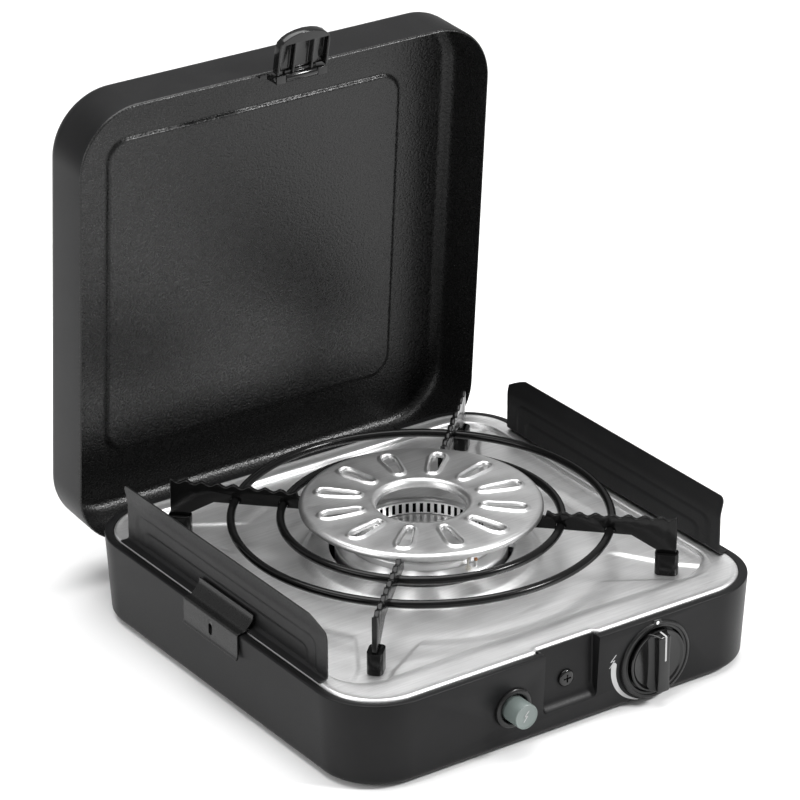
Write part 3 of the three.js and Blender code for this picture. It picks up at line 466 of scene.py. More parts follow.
PRINT = black_moulding("pale_print", grey(0.36), grey(0.42), roughness=0.5, grain=0.5, depth=0.003)
WHITE_PRINT = black_moulding(
    "white_print", grey(0.72), grey(0.8), roughness=0.5, grain=0.5, depth=0.003)
RESIN = button_resin()


# ---------- case ----------

def case_half(z):
    """Half the case's width at a height; the walls lean out towards the rim."""
    return CASE_HALF - CASE_DRAFT * (1 - z / CASE_HEIGHT)


def case_levels():
    """(half side, corner radius, height) from under the case, over the rim, to the inside floor."""
    edge = 4.5
    rim = 0.9
    levels = []
    for step in range(7):
        angle = step / 6 * math.pi / 2
        z = edge * (1 - math.cos(angle))
        half = case_half(z) - edge * (1 - math.sin(angle))
        levels.append((half, CORNER_RADIUS - (CASE_HALF - half), z))
    for step in range(5):
        angle = step / 4 * math.pi / 2
        half = CASE_HALF - rim * (1 - math.cos(angle))
        levels.append((half, CORNER_RADIUS - (CASE_HALF - half), CASE_HEIGHT - rim * (1 - math.sin(angle))))
    inner = [
        (145.2, CASE_HEIGHT), (144.85, CASE_HEIGHT - 0.15), (144.7, CASE_HEIGHT - 0.5), (144.7, 48.7),
        (141, 48.7), (141, 46), (144.6, 46), (142, 2.4)]
    levels += [(half, CORNER_RADIUS - (CASE_HALF - half), z) for half, z in inner]
    return levels


def recess_cutter():
    """The scooped recess: its bottom curves forward from the back wall."""
    curve = 10
    bottom = 12.3
    corner = 3.5
    taper = 1.2
    rings = []
    stations = [0.0, 0.06, 0.2] + [0.2 + 0.8 * k / 9 for k in range(1, 10)]
    for share in stations:
        angle = share * math.radians(78)
        y = RECESS_Y - curve * (1 - math.cos(angle))
        floor = bottom + curve * (1 - math.sin(angle))
        half = RECESS_HALF - taper * (1 - ease(share / 0.2))
        ring = [(half, y, CASE_HEIGHT + 6), (-half, y, CASE_HEIGHT + 6)]
        for side, start in ((-1, math.pi), (1, math.pi * 1.5)):
            for step in range(7):
                turn = start + step / 6 * math.pi / 2
                ring.append((
                    side * (half - corner) + corner * math.cos(turn), y,
                    floor + corner + corner * math.sin(turn)))
        rings.append(ring)
    rings.append([(x, y - 6, z) for x, y, z in rings[-1]])
    return loft(rings, caps=True)


def make_case():
    """The moulded case with its recess, its holes for the controls and its hinge pockets."""
    case = piece(
        "case_moulding", loft(square_stack(case_levels()), caps=True),
        "case", CASE_BLACK, ["case_shell"])
    backing_half = RECESS_HALF + 1.2
    backing = block((-backing_half, -146.5, 9), (backing_half, -142.0, CASE_HEIGHT - 0.2))
    cut_away(case, [backing], "UNION")
    cutters = [
        recess_cutter(),
        lathe_y([(KNOB_HOLE, -135), (KNOB_HOLE, -155)], KNOB_X, CONTROL_Z, 72, caps=True),
        lathe_y([(BUTTON_HOLE, -135), (BUTTON_HOLE, -155)], IGNITER_X, CONTROL_Z, 48, caps=True),
    ]
    cutters += [block((x - 7.6, 137, 20), (x + 7.6, 156, CASE_HEIGHT + 5)) for x in HINGE_POCKETS]
    cutters.append(lathe_y([(7, 156), (7, 138)], INLET_X, INLET_Z, 32, caps=True))
    cut_away(case, cutters)
    bevelled(case, 0.8, 3, 50)


def make_bezels():
    """The rings round the knob and the button, and the tab above the knob."""
    knob_ring = [
        (22.0, -144.8), (24.9, -144.9), (24.9, -149.4), (24.6, -150.3), (24.0, -150.8),
        (23.2, -151.0), (22.6, -150.8), (22.3, -150.3), (21.6, -150.1), (20.9, -150.15),
        (20.5, -149.8), (20.4, -149.2), (20.4, -147.1), (20.0, -146.7), (4.4, -146.6),
        (4.2, -146.2), (4.2, -144.8)]
    piece("knob_bezel", lathe_y(knob_ring, KNOB_X, CONTROL_Z, 128), "case", FINE_BLACK)
    button_ring = [
        (10.2, -144.8), (12.4, -144.9), (12.4, -149.2), (12.2, -150.0), (11.5, -150.6),
        (10.4, -150.9), (9.6, -150.7), (9.1, -150.2), (8.9, -149.4), (8.9, -146.8),
        (8.6, -146.4), (8.3, -146.3), (8.2, -144.8)]
    piece(
        "button_bezel", lathe_y(button_ring, IGNITER_X, CONTROL_Z, 96),
        "case", FINE_BLACK)
    tab = piece(
        "bezel_tab", block((KNOB_X - 2.8, -151.0, 48.6), (KNOB_X + 2.8, -147, 53.0)),
        "case", FINE_BLACK)
    bevelled(tab, 0.7, 3)


def on_front(x, z, proud=0.06):
    """A point just proud of the sloping front face."""
    return (x, -case_half(z) - proud, z)


def make_print():
    """The printed arc beside the knob, the dot on the bezel's tab and the spark signs."""
    steps = 40
    start, sweep = 168, 80  # degrees
    inner, outer = [], []
    for i in range(steps + 1):
        share = i / steps
        angle = math.radians(start + sweep * share)
        blunt = math.sqrt(max(0, 1 - (1 - min(1, share / 0.07)) ** 2))
        middle = 30.2 - 3.4 * ease(share * 0.9) - 0.1 * share
        width = (1.9 * (1 - share) ** 0.75 + 0.18) * (0.15 + 0.85 * blunt)
        for radius, row in ((middle - width, inner), (middle + width, outer)):
            row.append(on_front(
                KNOB_X + radius * math.cos(angle), CONTROL_Z + radius * math.sin(angle)))
    piece("gauge_print", loft([inner, outer], close_rings=False), "case", PRINT)
    dot = [(x, -151.06, z) for x, z in around(1.15, 24, (KNOB_X, 50.9))]
    piece("bezel_dot", (dot, [tuple(range(24))]), "case", WHITE_PRINT)
    flash_mark("flash_print", "case", 30.1, 33.75, 1, on_front)
    flash_mark("button_flash", "igniter", IGNITER_X, CONTROL_Z, 0.8, lambda x, z: (x, -161.62, z))


def flash_mark(name, body, x, z, scale, surface):
    """A generic lightning mark of three straight strokes, centred at (x, z) and laid on a surface."""
    corners = ((2.1, 3.85), (-1.5, 0.15), (1.3, 0.45), (-2.1, -3.85))
    half_width = 0.28
    past_end = 0.2
    path = [Vector((x + scale * dx, z + scale * dz)) for dx, dz in corners]
    for number, (a, b) in enumerate(zip(path, path[1:])):
        heading = (b - a).normalized()
        along = heading * past_end
        across = Vector((-heading.y, heading.x)) * half_width
        stroke = [a - along + across, b + along + across, b + along - across, a - along - across]
        shape = [surface(p.x, p.y) for p in stroke], [(0, 1, 2, 3)]
        piece(f"{name}_{number}", shape, body, PRINT)


def make_feet():
    for place in PLACES:
        from_cad(f"case_foot_{place}", f"foot_pad_{place}", "case", RUBBER, 0.5)


def make_catch():
    """The cross-head screw in the recess, which the latch hooks on."""
    y = RECESS_Y
    head = [
        (0.01, y - 2.1), (3.4, y - 2.1), (4.6, y - 1.9), (5.2, y - 1.4), (5.4, y - 0.7),
        (5.4, y - 0.15), (2.0, y - 0.1), (1.9, y + 6.5), (0.01, y + 7)]
    screw = piece(
        "recess_screw", lathe_y(head, 0, CATCH_Z, 64), "case", GLOSS_BLACK, ["catch_screw"])
    half_width, half_length = 0.55, 2.6
    cut_away(screw, [
        block((-half_x, y - 3, CATCH_Z - half_z), (half_x, y - 0.9, CATCH_Z + half_z))
        for half_x, half_z in ((half_width, half_length), (half_length, half_width))])


# ---------- tray ----------

WELL_Z = 50.4
WELL_HALF = 134
WELL_CORNER = 26
WELL_FRONT = 122
BASIN_RADIUS = 109
PLATFORM_RISE = 1.0
PLATFORM_EDGE = (109.5, 10)  # where the rise starts, and its width
CHANNEL_HALF = 9
CHANNEL_SPREAD = 0.24  # how fast a channel widens inwards from its outer end
CHANNEL_END = 149
CHANNEL_WALL = 2.2
FRONT_SLOPE = (100, 22, 5)  # how far forward the slope starts to widen, over what length, by how much
FLAT_Z = 54.2
NOTCH_HALF = 21.4
NOTCH_DEPTH = 2.8
TRAY_STEPS = 640
TRAY_ANGLES = [TAU * i / TRAY_STEPS for i in range(TRAY_STEPS)]


def square_reach(angle, half, corner, front=None):
    """How far a rounded square's edge is from the burner's centre, in one direction.

    Its front edge may stand nearer than the other three.
    """
    dx, dy = math.cos(angle), math.sin(angle)
    front = half if front is None else front
    middle_y = (half - front) / 2
    half_y = (half + front) / 2
    low, high = 0.0, 2 * half
    for _ in range(36):
        reach = (low + high) / 2
        x = abs(reach * dx)
        y = abs(reach * dy + BURNER_Y - middle_y)
        ex, ey = x - (half - corner), y - (half_y - corner)
        inside = math.hypot(ex, ey) <= corner if min(ex, ey) > 0 else x <= half and y <= half_y
        low, high = (reach, high) if inside else (low, reach)
    return low


def tray_relief(x, y):
    """Height of the well's floor: a round basin, with a channel out to each foot."""
    dy = y - BURNER_Y
    reach = math.hypot(x, dy)
    start, width = PLATFORM_EDGE
    platform = ease((reach - start) / width)
    along = (abs(x) + abs(dy)) / math.sqrt(2)
    across = abs(abs(x) - abs(dy)) / math.sqrt(2)
    spread = CHANNEL_HALF + max(0, CHANNEL_END - along) * CHANNEL_SPREAD
    channel = 1 - ease((across - spread) / CHANNEL_WALL)
    return WELL_Z + PLATFORM_RISE * platform * (1 - channel)


def tray_ring(reaches):
    """A ring of (x, y) round the burner, at one reach for each direction."""
    return [
        (reach * math.cos(a), BURNER_Y + reach * math.sin(a)) for a, reach in zip(TRAY_ANGLES, reaches)]


def tray_collar():
    """Rings over the raised collar round the burner and down to the basin."""
    profile = [
        (55.9, 54.2), (55.5, 55.2), (55.6, 56.1), (56.1, 56.5), (57.2, 56.55), (62, 55.7),
        (66.8, 54.7), (68.2, 54.3), (69.3, 53.7), (71.8, 51.4), (73.0, 50.7), (74.4, 50.42),
        (76, WELL_Z)]
    return [[(x, y, z) for x, y in tray_ring([radius] * TRAY_STEPS)] for radius, z in profile]


def tray_well():
    """Rings over the well's floor, from the basin out to the well's edge and up to the flat."""
    edges = [square_reach(a, WELL_HALF, WELL_CORNER, WELL_FRONT) for a in TRAY_ANGLES]
    start, length, gain = FRONT_SLOPE
    slopes = [
        1 + gain * ease((-BURNER_Y - edge * math.sin(a) - start) / length)
        for a, edge in zip(TRAY_ANGLES, edges)]
    floor = [[79 + i * 2.6] * TRAY_STEPS for i in range(12)]
    blend_steps = 34
    for i in range(blend_steps + 1):
        share = i / blend_steps
        floor.append([
            BASIN_RADIUS + share * (edge - 1.2 * slope - BASIN_RADIUS)
            for edge, slope in zip(edges, slopes)])
    rings = [[(x, y, tray_relief(x, y)) for x, y in tray_ring(reaches)] for reaches in floor]
    for inset, share in ((1.1, 0.25), (0.5, 0.62), (0.1, 0.9), (-0.7, 1.0), (-2.0, 1.0)):
        ring = []
        for x, y in tray_ring([edge - inset * slope for edge, slope in zip(edges, slopes)]):
            low = tray_relief(x, y)
            ring.append((x, y, low + (FLAT_Z - low) * share))
        rings.append(ring)
    return rings


def tray_rim():
    """Rings over the bead and down outside it, set back at the latch recess."""
    bead = [
        (138.8, 30, 54.2), (140.4, 31, 54.25), (141.5, 31.8, 54.5), (142.3, 32.5, 54.75),
        (142.9, 33, 54.8), (143.4, 33.5, 54.65), (143.85, 33.9, 54.3), (144.2, 34.2, 53.75),
        (144.4, 34.4, 53.0), (144.4, 34.4, 49.2)]
    rings = []
    for half, corner, z in bead:
        ring = []
        for x, y in tray_ring([square_reach(a, half, corner) for a in TRAY_ANGLES]):
            notch = 1 - ease((abs(x) - NOTCH_HALF + 1.5) / 3)
            ring.append((x, y + NOTCH_DEPTH * notch if y < 0 else y, z))
        rings.append(ring)
    return rings


def make_tray():
    rings = tray_collar() + tray_well() + tray_rim()
    piece("tray_pressing", loft(rings), "case", TRAY_STEEL, ["drip_tray"], sharp=60)


# ---------- burner ----------

SPREADER_TOP = 87
SECTORS = 12
ARC_POINTS = 9
SIDE_POINTS = 9
PORTS = 56


def arc(radius, start, end, centre=0):
    """Points along an arc about (centre, 0)."""
    points = []
    for i in range(ARC_POINTS):
        angle = start + i / (ARC_POINTS - 1) * (end - start)
        points.append((centre + radius * math.cos(angle), radius * math.sin(angle)))
    return points


def slot_outline(grow):
    """The tapered slot in a sector along +X, grown outwards, from its inner end anticlockwise."""
    inner, inner_radius, outer, outer_radius = 40.0, 2.6 + grow, 59.2, 4.2 + grow
    inner_arc = arc(inner_radius, math.pi * 0.75, math.pi * 1.25, inner)
    lower_start = (inner + inner_radius * math.cos(math.pi * 1.5), -inner_radius)
    lower_end = (outer, -outer_radius)
    upper_start = (outer, outer_radius)
    upper_end = (inner, inner_radius)
    outer_arc = arc(outer_radius, -math.pi / 4, math.pi / 4, outer)

    def side(start, end, first, last):
        row = []
        path = [first, start, end, last]
        lengths = [math.dist(path[k], path[k + 1]) for k in range(3)]
        total = sum(lengths)
        for i in range(1, SIDE_POINTS):
            wanted = total * i / SIDE_POINTS
            for k in range(3):
                if wanted <= lengths[k] or k == 2:
                    share = min(1, wanted / lengths[k]) if lengths[k] else 0
                    row.append(tuple(
                        path[k][m] + share * (path[k + 1][m] - path[k][m]) for m in (0, 1)))
                    break
                wanted -= lengths[k]
        return row

    lower = side(lower_start, lower_end, inner_arc[-1], outer_arc[0])
    upper = side(upper_start, upper_end, outer_arc[-1], inner_arc[0])
    return inner_arc, lower, outer_arc, upper


def sector_outline(half_angle, inner, outer):
    """The matching outline of the sector around the slot."""
    inner_arc = arc(inner, half_angle, -half_angle)
    outer_arc = arc(outer, -half_angle, half_angle)
    lower = []
    upper = []
    for i in range(1, SIDE_POINTS):
        share = i / SIDE_POINTS
        reach = inner + (outer - inner) * share
        lower.append((reach * math.cos(-half_angle), reach * math.sin(-half_angle)))
        back = outer - (outer - inner) * share
        upper.append((back * math.cos(half_angle), back * math.sin(half_angle)))
    return inner_arc, lower, outer_arc, upper


def spreader_sector(turn, plate):
    """One slot with its rolled edge and the flat round it, turned about the burner."""
    inner, outer = 31.5, 70.0
    slot_edge = [
        (-0.55, -1.9), (-0.5, -1.0), (-0.3, -0.2), (0.0, 0.45), (0.45, 0.95),
        (1.0, 1.15), (1.6, 0.95), (2.2, 0.45), (2.8, 0.1), (3.4, 0.0)]
    rings = []
    for grow, lift in slot_edge:
        rings.append([(x, y, lift) for part in slot_outline(grow) for x, y in part])
    border = sector_outline(math.pi / SECTORS, inner, outer)
    rings.append([(x, y, 0.0) for part in border for x, y in part])
    points, faces = loft(rings)
    turned = [(
        x * math.cos(turn) - y * math.sin(turn),
        BURNER_Y + x * math.sin(turn) + y * math.cos(turn),
        plate + lift) for x, y, lift in points]
    return turned, faces


def make_spreader():
    """The pressed flame spreader: twelve slots, a turned-down hole and a turned-down edge."""
    plate = SPREADER_TOP - 1.15
    lip = [
        (31.5, plate), (30.4, plate + 0.1), (29.5, plate - 0.1), (28.6, plate - 0.7),
        (27.8, plate - 1.7), (27.2, plate - 3.0), (26.9, plate - 4.8)]
    edge = [
        (70.0, plate), (71.2, plate - 0.12), (72.2, plate - 0.55), (72.9, plate - 1.25),
        (73.3, plate - 2.1), (73.5, plate - 3.1), (73.5, plate - 3.8)]
    shapes = [
        spreader_sector((sector + 0.5) * TAU / SECTORS, plate) for sector in range(SECTORS)]
    shapes += [lathe(profile, SECTORS * 8, BURNER_CENTRE) for profile in (lip, edge)]
    vertices, faces = [], []
    for points, quads in shapes:
        start = len(vertices)
        vertices += points
        faces += [tuple(start + k for k in quad) for quad in quads]
    cap = piece(
        "spreader_pressing", (vertices, faces), "spreader", CAP_STEEL,
        ["flame_spreader"], sharp=60)
    face_towards(cap, (0, 0, 1))
    thickened(cap, 0.8)


def make_port_ring():
    """The ring of ports, which are deep slots whose insides are painted near black as shade."""
    face, depth, back = 39.0, 1.8, 41.2
    levels = [(57.4, 0), (58.2, 0), (58.2, 1), (64.3, 1), (64.3, 0), (65.3, 0)]
    rings = []
    for z, opened in levels:
        ring = []
        for port in range(PORTS):
            for share, deep in ((0.27, 0), (0.30, 1), (0.72, 1), (0.75, 0)):
                radius = face + depth * deep * opened
                angle = TAU * (port + share) / PORTS
                ring.append((radius * math.cos(angle), BURNER_Y + radius * math.sin(angle), z))
        rings.append(ring)
    rings.append([
        (x * back / face, BURNER_Y + (y - BURNER_Y) * back / face, z) for x, y, z in rings[-1]])
    ring = piece(
        "port_ring", loft(rings), "case", [BURNER_STEEL, PORT_SLOT_SHADE], ["burner_port_ring"], sharp=30)
    centre = DATUM + Vector((0, BURNER_Y, 0)) * MM
    # Faces inside the slots take the near-black painted shade.
    for polygon in ring.data.polygons:
        reach = (polygon.center - centre).xy.length / MM
        if face + 0.3 < reach < back - 0.1 and polygon.center.z < DATUM.z + 64.8 * MM:
            polygon.material_index = 1


def make_burner():
    """The casing, the plate in its middle, the shroud round it and the ring of ports."""
    body = [
        (41.0, 60), (41.0, 64.9), (41.3, 65.25), (41.9, 65.4), (43.6, 65.4), (44.5, 65.2),
        (44.9, 64.7), (45.0, 64), (45.0, 30), (39, 24), (0.5, 24)]
    plate = [
        (0.01, 57.0), (12, 57.0), (14, 57.2), (37.6, 57.25), (39.2, 57.0), (41, 56.4),
        (41, 55.9), (0.01, 55.8)]
    skirt = [
        (52.3, 47), (52.3, 57.4), (52.1, 58.4), (51.4, 59.2), (50.4, 59.7), (46.6, 61.2),
        (45.6, 61.4), (45.3, 61.1), (45.3, 60.4), (50.8, 58.0), (51.3, 57.2), (51.3, 47)]
    for name, profile, loop, node in (
            ("burner_casing", body, False, "burner_body"),
            ("burner_plate", plate, False, "burner_centre_plate"),
            ("burner_skirt", skirt, True, "burner_shroud")):
        shape = lathe(profile, 128, BURNER_CENTRE, loop=loop)
        piece(name, shape, "case", BURNER_STEEL, [node])
    make_port_ring()


# ---------- pan support ----------

def make_support():
    """The two rings, and the four arms with the shoes that stand in the tray."""
    for name, radius in (("outer", 114.1), ("inner", 84.4)):
        piece(
            f"{name}_ring_rod", torus(radius, RING_ROD, RING_Z), "pan_support", ENAMEL,
            [f"support_ring_{name}"])
    for place in PLACES:
        from_cad(
            f"support_arm_{place}", f"arm_blade_{place}", "pan_support", ENAMEL,
            0.45, 2, 40)
        from_cad(
            f"support_shoe_{place}", f"arm_boot_{place}", "pan_support", RUBBER,
            1.1, 3, 40)


# ---------- windscreens ----------

SCREEN_X = 139.3
CLIP_HALF = 29
SCREEN_BEND_Z = 81
SCREEN_TOP_Z = 92.6
SCREEN_FLARE = 2.7
SCREEN_FRONT = -104
SCREEN_REAR = 110.5
FRONT_CUT = 15  # length of the sloping front end of the top edge
FRONT_DROP = 7
REAR_ROUND = 4
STEP_DEPTH = 0.5
STEP_WIDTH = 1.8
FOOT_EDGE = 145.1
FOOT_NOTCH = 142.5  # the foot's edge beside the clip


def screen_sink(y, z):
    """Two nested shallow steps pressed into the flat of the sheet."""
    depth = 0
    for y0, y1, top, corner in ((-92.5, 100, 76.5, 6), (-83, 90.5, 68, 5)):
        dx = max(y0 + corner - y, y - y1 + corner)
        dz = z - (top - corner)
        outside = math.hypot(dx, dz) - corner if dx > 0 and dz > 0 else max(dx, dz) - corner
        depth += STEP_DEPTH * ease(0.5 - outside / STEP_WIDTH)
    return depth


def screen_top(y):
    """The top edge drops away to the front end and is rounded at the rear."""
    near = max(0, SCREEN_FRONT + FRONT_CUT - y) / FRONT_CUT
    far = max(0, y - SCREEN_REAR + REAR_ROUND)
    rounded = REAR_ROUND - math.sqrt(max(0, REAR_ROUND ** 2 - far ** 2))
    return SCREEN_TOP_Z - FRONT_DROP * near ** 1.25 - rounded


def screen_sheet():
    """The left screen's outer face, as a grid along Y and up the section."""
    columns = [SCREEN_FRONT + i for i in range(FRONT_CUT)]
    y = SCREEN_FRONT + FRONT_CUT
    while y < SCREEN_REAR - REAR_ROUND - 0.6:
        columns.append(y)
        y += 1.7
    columns += [CLIP_HALF + 1, CLIP_HALF + 1.1, -CLIP_HALF - 1, -CLIP_HALF - 1.1]
    columns += [SCREEN_REAR - REAR_ROUND * (1 - math.sin(i / 8 * math.pi / 2)) for i in range(9)]
    slope = SCREEN_FLARE / (SCREEN_TOP_Z - SCREEN_BEND_Z)
    rings = []
    for y in sorted(columns):
        top = screen_top(y)
        foot = FOOT_EDGE if abs(y) > CLIP_HALF + 1.05 else FOOT_NOTCH
        ring = [(foot, 55.75), (foot - 0.4, 55.9), (141.0, 55.9), (140.1, 56.1), (139.5, 56.6)]
        z = 57.4
        while z < SCREEN_BEND_Z - 2.2:
            ring.append((SCREEN_X - screen_sink(y, z), z))
            z += 0.8
        lowest = SCREEN_BEND_Z - 2
        for i in range(15):
            z = lowest + (top - lowest) * i / 14
            rise = z - lowest
            over = slope * rise ** 2 / 8 if rise < 4 else slope * (rise - 2)
            ring.append((SCREEN_X + over, z))
        rings.append([(-x, y, z) for x, z in ring])
    return loft(rings, close_rings=False)


def clip_section():
    """(x, z) down the outer face of the clip, from its weld on the sheet to its flared lip."""
    return [
        (140.4, 64.4), (140.4, 63.2), (140.6, 62.0), (141.3, 60.6), (142.4, 59.2), (143.7, 57.8),
        (145.0, 56.5), (146.2, 55.6), (147.6, 55.2), (149.4, 55.2), (150.6, 55.0), (151.3, 54.3),
        (151.55, 53.2), (151.6, 44), (151.6, 41.2), (151.75, 40.2), (152.1, 39.3), (152.65, 38.3)]


def oval(y, z, radius, stretch):
    """An upright slot's outline."""
    points = []
    for i in range(24):
        angle = TAU * i / 24
        shift = stretch if math.sin(angle) >= 0 else -stretch
        points.append((y + radius * math.cos(angle), z + shift * 0.5 + radius * math.sin(angle)))
    return points


def make_screens():
    """Both windscreens; the right one is the left one turned half round."""
    rows = [-CLIP_HALF, -28.6, -27.5] + [-26 + 2 * i for i in range(27)] + [27.5, 28.6, CLIP_HALF]
    for side, turn, sign in (("left", None, -1), ("right", HALF_TURN, 1)):
        body = f"windscreen_{side}_set"
        sheet = piece(
            f"screen_sheet_{side}", screen_sheet(), body, SHEET_BLACK,
            [f"windscreen_{side}"], turn=turn, sharp=60)
        face_towards(sheet, (sign, 0, 0))
        thickened(sheet, 0.9)
        clip = piece(
            f"screen_spring_clip_{side}",
            loft([[(-x, y, z) for x, z in clip_section()] for y in rows], close_rings=False),
            body, FINE_BLACK, [f"windscreen_clip_{side}"], turn=turn, sharp=60)
        face_towards(clip, (sign, 0, 0))
        thickened(clip, 1.0)
        slot = oval(0, 46, 1.9, 3.6)
        cut_away(clip, [loft([[(sign * x, y, z) for y, z in slot] for x in (148, 156)], caps=True)])
        bevelled(clip, 0.2, 2, 50)


# ---------- lid ----------

def lid_wall(inset, z):
    """(half side, corner radius, height) of the lid's wall, which leans in a little towards the top."""
    away = inset + LID_DRAFT * (z - LID_RIM_Z) / LID_DEPTH
    return LID_HALF - away, CORNER_RADIUS - away, z


def lid_edge(inset, edge):
    """Levels round the lid's top edge, from the wall inwards."""
    shoulder = LID_RIM_Z + LID_DEPTH - inset - edge
    levels = []
    for step in range(9):
        angle = step / 8 * math.pi / 2
        half, corner, z = lid_wall(inset, shoulder + edge * math.sin(angle))
        away = edge * (1 - math.cos(angle))
        levels.append((half - away, corner - away, z))
    return levels


def lid_levels():
    """(half side, corner radius, height) over the outside, round the rim and across the panel inside."""
    top = LID_RIM_Z + LID_DEPTH
    ceiling = top - LID_SHEET
    inner_edge = 8.1
    outer_edge = inner_edge + LID_SHEET
    panel = [
        (103.2, 12.4, 1.8), (104.0, 13.0, 1.8), (104.7, 13.4, 1.72), (105.2, 13.7, 1.5), (105.6, 14.0, 1.2),
        (106.3, 14.4, 0.4), (106.6, 14.6, 0.18), (107.1, 14.9, 0.04), (108.0, 15.5, 0)]
    lip = [
        (147.25, 40, 57.4), (147.1, 39.8, 56.9), (146.85, 39.6, 56.45), (146.55, 39.3, 56.15),
        (146.25, 39, 56), (146.05, 38.8, 56.1), (145.9, 38.6, 56.5)]
    wall = (58, 66.2, 67)
    levels = [(half, corner, top - 0.6 * sink) for half, corner, sink in panel]
    levels += [(128, 22, top)] + lid_edge(0, outer_edge)[::-1]
    levels += [lid_wall(0, z) for z in wall[::-1]] + lip + [lid_wall(LID_SHEET, z) for z in wall]
    levels += lid_edge(LID_SHEET, inner_edge) + [(128, 22, ceiling)]
    levels += [(half, corner, ceiling - sink) for half, corner, sink in panel[::-1]]
    return levels


def make_lid():
    lid = piece(
        "lid_moulding", loft(square_stack(lid_levels(), LID_CENTRE_Y), caps=True),
        "lid", [CASE_BLACK, LID_INSIDE], ["lid_shell"])
    paint_inside(lid)
    open_up(lid)
    make_hinges()
    make_latch()


def paint_inside(lid):
    """Gives the orange-peel finish to every face that looks into the lid."""
    middle = DATUM + Vector((0, LID_CENTRE_Y, LID_RIM_Z + 14)) * MM
    for polygon in lid.data.polygons:
        x, y, z = (polygon.center - DATUM) / MM
        framed = max(abs(x), abs(y - LID_CENTRE_Y)) < 112 and z < LID_RIM_Z + LID_DEPTH - 1.3
        inward = (middle - polygon.center).dot(polygon.normal) > 0
        if inward or framed or z < LID_RIM_Z + 1.4:
            polygon.material_index = 1


def open_up(thing):
    """Swings a mesh drawn shut into the open pose."""
    datum = Matrix.Translation(DATUM)
    scale = Matrix.Scale(MM, 4)
    thing.data.transform(datum @ scale @ LID_TURN @ scale.inverted() @ datum.inverted())


def make_hinges():
    for side in ("left", "right"):
        from_cad(
            f"hinge_strap_{side}", f"strap_{side}", "lid", SHEET_BLACK, 0.6, 3, 40)


def make_latch():
    from_cad("latch_mount", "latch_bracket", "lid", GLOSS_BLACK, 0.5, 3, 40)
    from_cad("latch_lever", "latch_handle", "latch", GLOSS_BLACK, 0.5, 3, 40)


# ---------- controls ----------

def make_knob():
    """The flanged disc, the grip across it and the pale line along the grip."""
    disc = [
        (0.01, -151.5), (16.6, -151.5), (17.3, -151.7), (17.9, -152.3), (18.6, -152.6),
        (19.2, -152.5), (19.6, -152.0), (19.6, -150.8), (19.3, -150.3), (3.6, -150.2),
        (3.4, -151), (3.4, -155)]
    piece(
        "knob_disc", lathe_y(disc, KNOB_X, CONTROL_Z, 128), "knob", GLOSS_BLACK,
        ["control_knob"])
    half_x, half_z, corner = 4.4, 18.4, 1.6
    rings = []
    for share in [i / 12 for i in range(12)]:
        flare = (1 - share) ** 3
        rings.append(grip_ring(
            half_x + 3.6 * flare, half_z + 0.5 * (1 - share), corner, -151.2 - 7.0 * share))
    for inset, y in ((0.0, -157.6), (0.12, -158.05), (0.4, -158.35), (0.85, -158.5)):
        rings.append(grip_ring(half_x - inset, half_z - inset, corner - inset, y))
    piece("knob_grip", loft(rings, caps=True), "knob", GLOSS_BLACK)
    strip_x = KNOB_X + 0.6
    half = 0.62
    line = [(-158.56, 28.6), (-158.56, 44.2), (-158.4, 44.75), (-158.0, 45.0), (-152.8, 45.55)]
    rows = [[(strip_x - half, y, z), (strip_x + half, y, z)] for y, z in line]
    piece("pointer_print", loft(rows, close_rings=False), "knob", PRINT, ["knob_pointer"])


def grip_ring(half_x, half_z, corner, y):
    """A level of the grip: a long bar whose sides are drawn in a little at the middle."""
    straight = 16
    outline = rounded_outline(half_x, half_z, corner, 5)
    points = []
    for i, (x, z) in enumerate(outline):
        points.append((x, z))
        if i in (11, 23):
            z_next = outline[(i + 1) % len(outline)][1]
            points += [(x, z + (z_next - z) * k / straight) for k in range(1, straight)]
    ring = []
    for x, z in points:
        waist = 0.12 * max(0, 1 - (z / half_z) ** 2)
        ring.append((KNOB_X + x * (1 - waist), y, CONTROL_Z + z))
    return ring


def make_button():
    cap = [
        (0.01, -161.5), (6.4, -161.55), (6.9, -161.7), (7.2, -161.95), (7.45, -162.0), (7.7, -161.8),
        (7.75, -161.4), (7.75, -145.2), (7.75, -144.4), (9.5, -144.3), (9.6, -144.0), (9.6, -143.1),
        (9.4, -142.9), (2.5, -142.9), (2.5, -133.2), (2.3, -133), (0.01, -133)]
    piece(
        "button_cap", lathe_y(cap, IGNITER_X, CONTROL_Z, 96), "igniter", RESIN,
        ["igniter_button"])


# ---------- probes ----------

def make_probes():
    """The ceramic spark electrode and the flame sensor with its copper tip."""
    electrode = [(1.9, 42), (1.9, 61.2), (1.6, 61.5), (0.7, 61.5), (0.7, 66.7), (0.5, 67), (0.01, 67)]
    piece(
        "electrode_rod", lathe(electrode, 32, (0, -46.4)), "case", CERAMIC,
        ["ignition_electrode"])
    sensor = (6, -46)
    sheath = [(1.5, 42), (1.5, 59.8), (1.1, 60.2), (1.1, 63.9)]
    tip = [(1.1, 63.9), (1.1, 65.1), (0.8, 65.45), (0.01, 65.5)]
    piece("sensor_sheath", lathe(sheath, 32, sensor), "case", BURNER_STEEL, ["thermocouple"])
    piece("sensor_tip", lathe(tip, 32, sensor), "case", COPPER)


# ---------- CAD nodes kept as they are ----------

def finish_kept_nodes():
    finishes = {
        "hinge_pin_left": ZINC, "hinge_pin_right": ZINC, "latch_pin": ZINC, "igniter_spring": ZINC,
        "valve_stem": BRASS, "valve_body": BRASS, "gas_jet": BRASS, "gas_inlet": BRASS,
        "mixing_tube": ALUMINIUM, "supply_pipe": COPPER, "thermocouple_lead": COPPER,
        "igniter_module": FINE_BLACK, "ignition_lead": RUBBER}
    for node, material in finishes.items():
        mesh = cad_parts[node].data
        mesh.materials.clear()
        mesh.materials.append(material)


# ---------- setting ----------

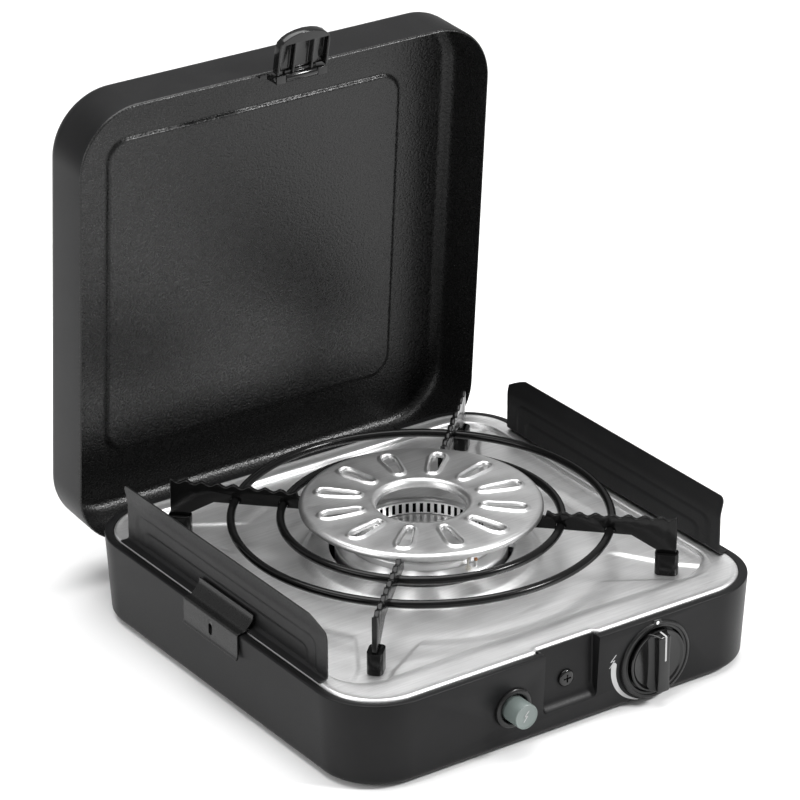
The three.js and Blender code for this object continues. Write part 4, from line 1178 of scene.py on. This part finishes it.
FLOOR_HALF = 6  # metres
WORLD_STRENGTH = 0.42
LIGHTS = (  # name, place and target in metres, size in metres, watts
    ("overhead", (0.0, 0.2, 1.6), (0, 0.05, 0), (1.6, 1.4), 34),
    ("left", (-1.7, -0.1, 0.7), (0, 0, 0.1), (0.9, 1.1), 10),
    ("front_high", (1.18, -1.45, 1.47), (0, 0.12, 0.28), (0.4, 0.4), 42),
)
CAMERA_ANGLES = (-34.714, 25.164, -0.186)  # azimuth, elevation and roll in degrees
CAMERA_PLACE = (-1267.397, -1805.677, 1189.042)
CAMERA_LENS = 185.6


def make_stage():
    corners = [(x * FLOOR_HALF, y * FLOOR_HALF, 0) for x, y in ((-1, -1), (1, -1), (1, 1), (-1, 1))]
    mesh = bpy.data.meshes.new("floor")
    mesh.from_pydata(corners, [], [(0, 1, 2, 3)])
    floor = bpy.data.objects.new("floor", mesh)
    bpy.context.scene.collection.objects.link(floor)
    material, nodes, links, shader = new_material("studio_floor")
    links.new(tint(nodes, links, noise(nodes, links, 400, 2), grey(0.90), grey(0.93)),
              shader.inputs["Base Color"])
    shader.inputs["Roughness"].default_value = 0.9
    shader.inputs["Specular IOR Level"].default_value = 0.1
    mesh.materials.append(material)


def area_light(name, place, target, size, power):
    """A rectangular lamp that looks at a target."""
    data = bpy.data.lights.new(name, "AREA")
    data.shape = "RECTANGLE"
    data.size, data.size_y = size
    data.energy = power
    light = bpy.data.objects.new(name, data)
    light.location = Vector(place)
    light.rotation_euler = (Vector(target) - Vector(place)).to_track_quat("-Z", "Y").to_euler()
    bpy.context.scene.collection.objects.link(light)


def make_lights():
    world = bpy.data.worlds.new("studio")
    bpy.context.scene.world = world
    world.use_nodes = True
    background = world.node_tree.nodes["Background"]
    background.inputs["Color"].default_value = (1, 1, 1, 1)
    background.inputs["Strength"].default_value = WORLD_STRENGTH
    for light in LIGHTS:
        area_light(*light)


def make_camera():
    """Looks down at the stove from its front left corner, through a long lens."""
    azimuth, elevation, roll = (math.radians(v) for v in CAMERA_ANGLES)
    back = Vector((
        math.sin(azimuth) * math.cos(elevation), -math.cos(azimuth) * math.cos(elevation),
        math.sin(elevation)))
    right = Vector((math.cos(azimuth), math.sin(azimuth), 0))
    up = back.cross(right)
    turned_right = right * math.cos(roll) + up * math.sin(roll)
    turned_up = up * math.cos(roll) - right * math.sin(roll)
    data = bpy.data.cameras.new("camera")
    data.sensor_width = 36
    data.lens = CAMERA_LENS
    data.clip_end = 50
    camera = bpy.data.objects.new("camera", data)
    camera.matrix_world = Matrix((
        (turned_right.x, turned_up.x, back.x, 0), (turned_right.y, turned_up.y, back.y, 0),
        (turned_right.z, turned_up.z, back.z, 0), (0, 0, 0, 1)))
    camera.location = DATUM + Vector(CAMERA_PLACE) * MM
    bpy.context.scene.collection.objects.link(camera)
    bpy.context.scene.camera = camera
    bpy.context.scene.view_settings.view_transform = "Standard"


make_camera()
make_stage()
make_lights()
make_case()
make_bezels()
make_print()
make_feet()
make_catch()
make_tray()
make_burner()
make_spreader()
make_support()
make_screens()
make_lid()
make_knob()
make_button()
make_probes()
finish_kept_nodes()
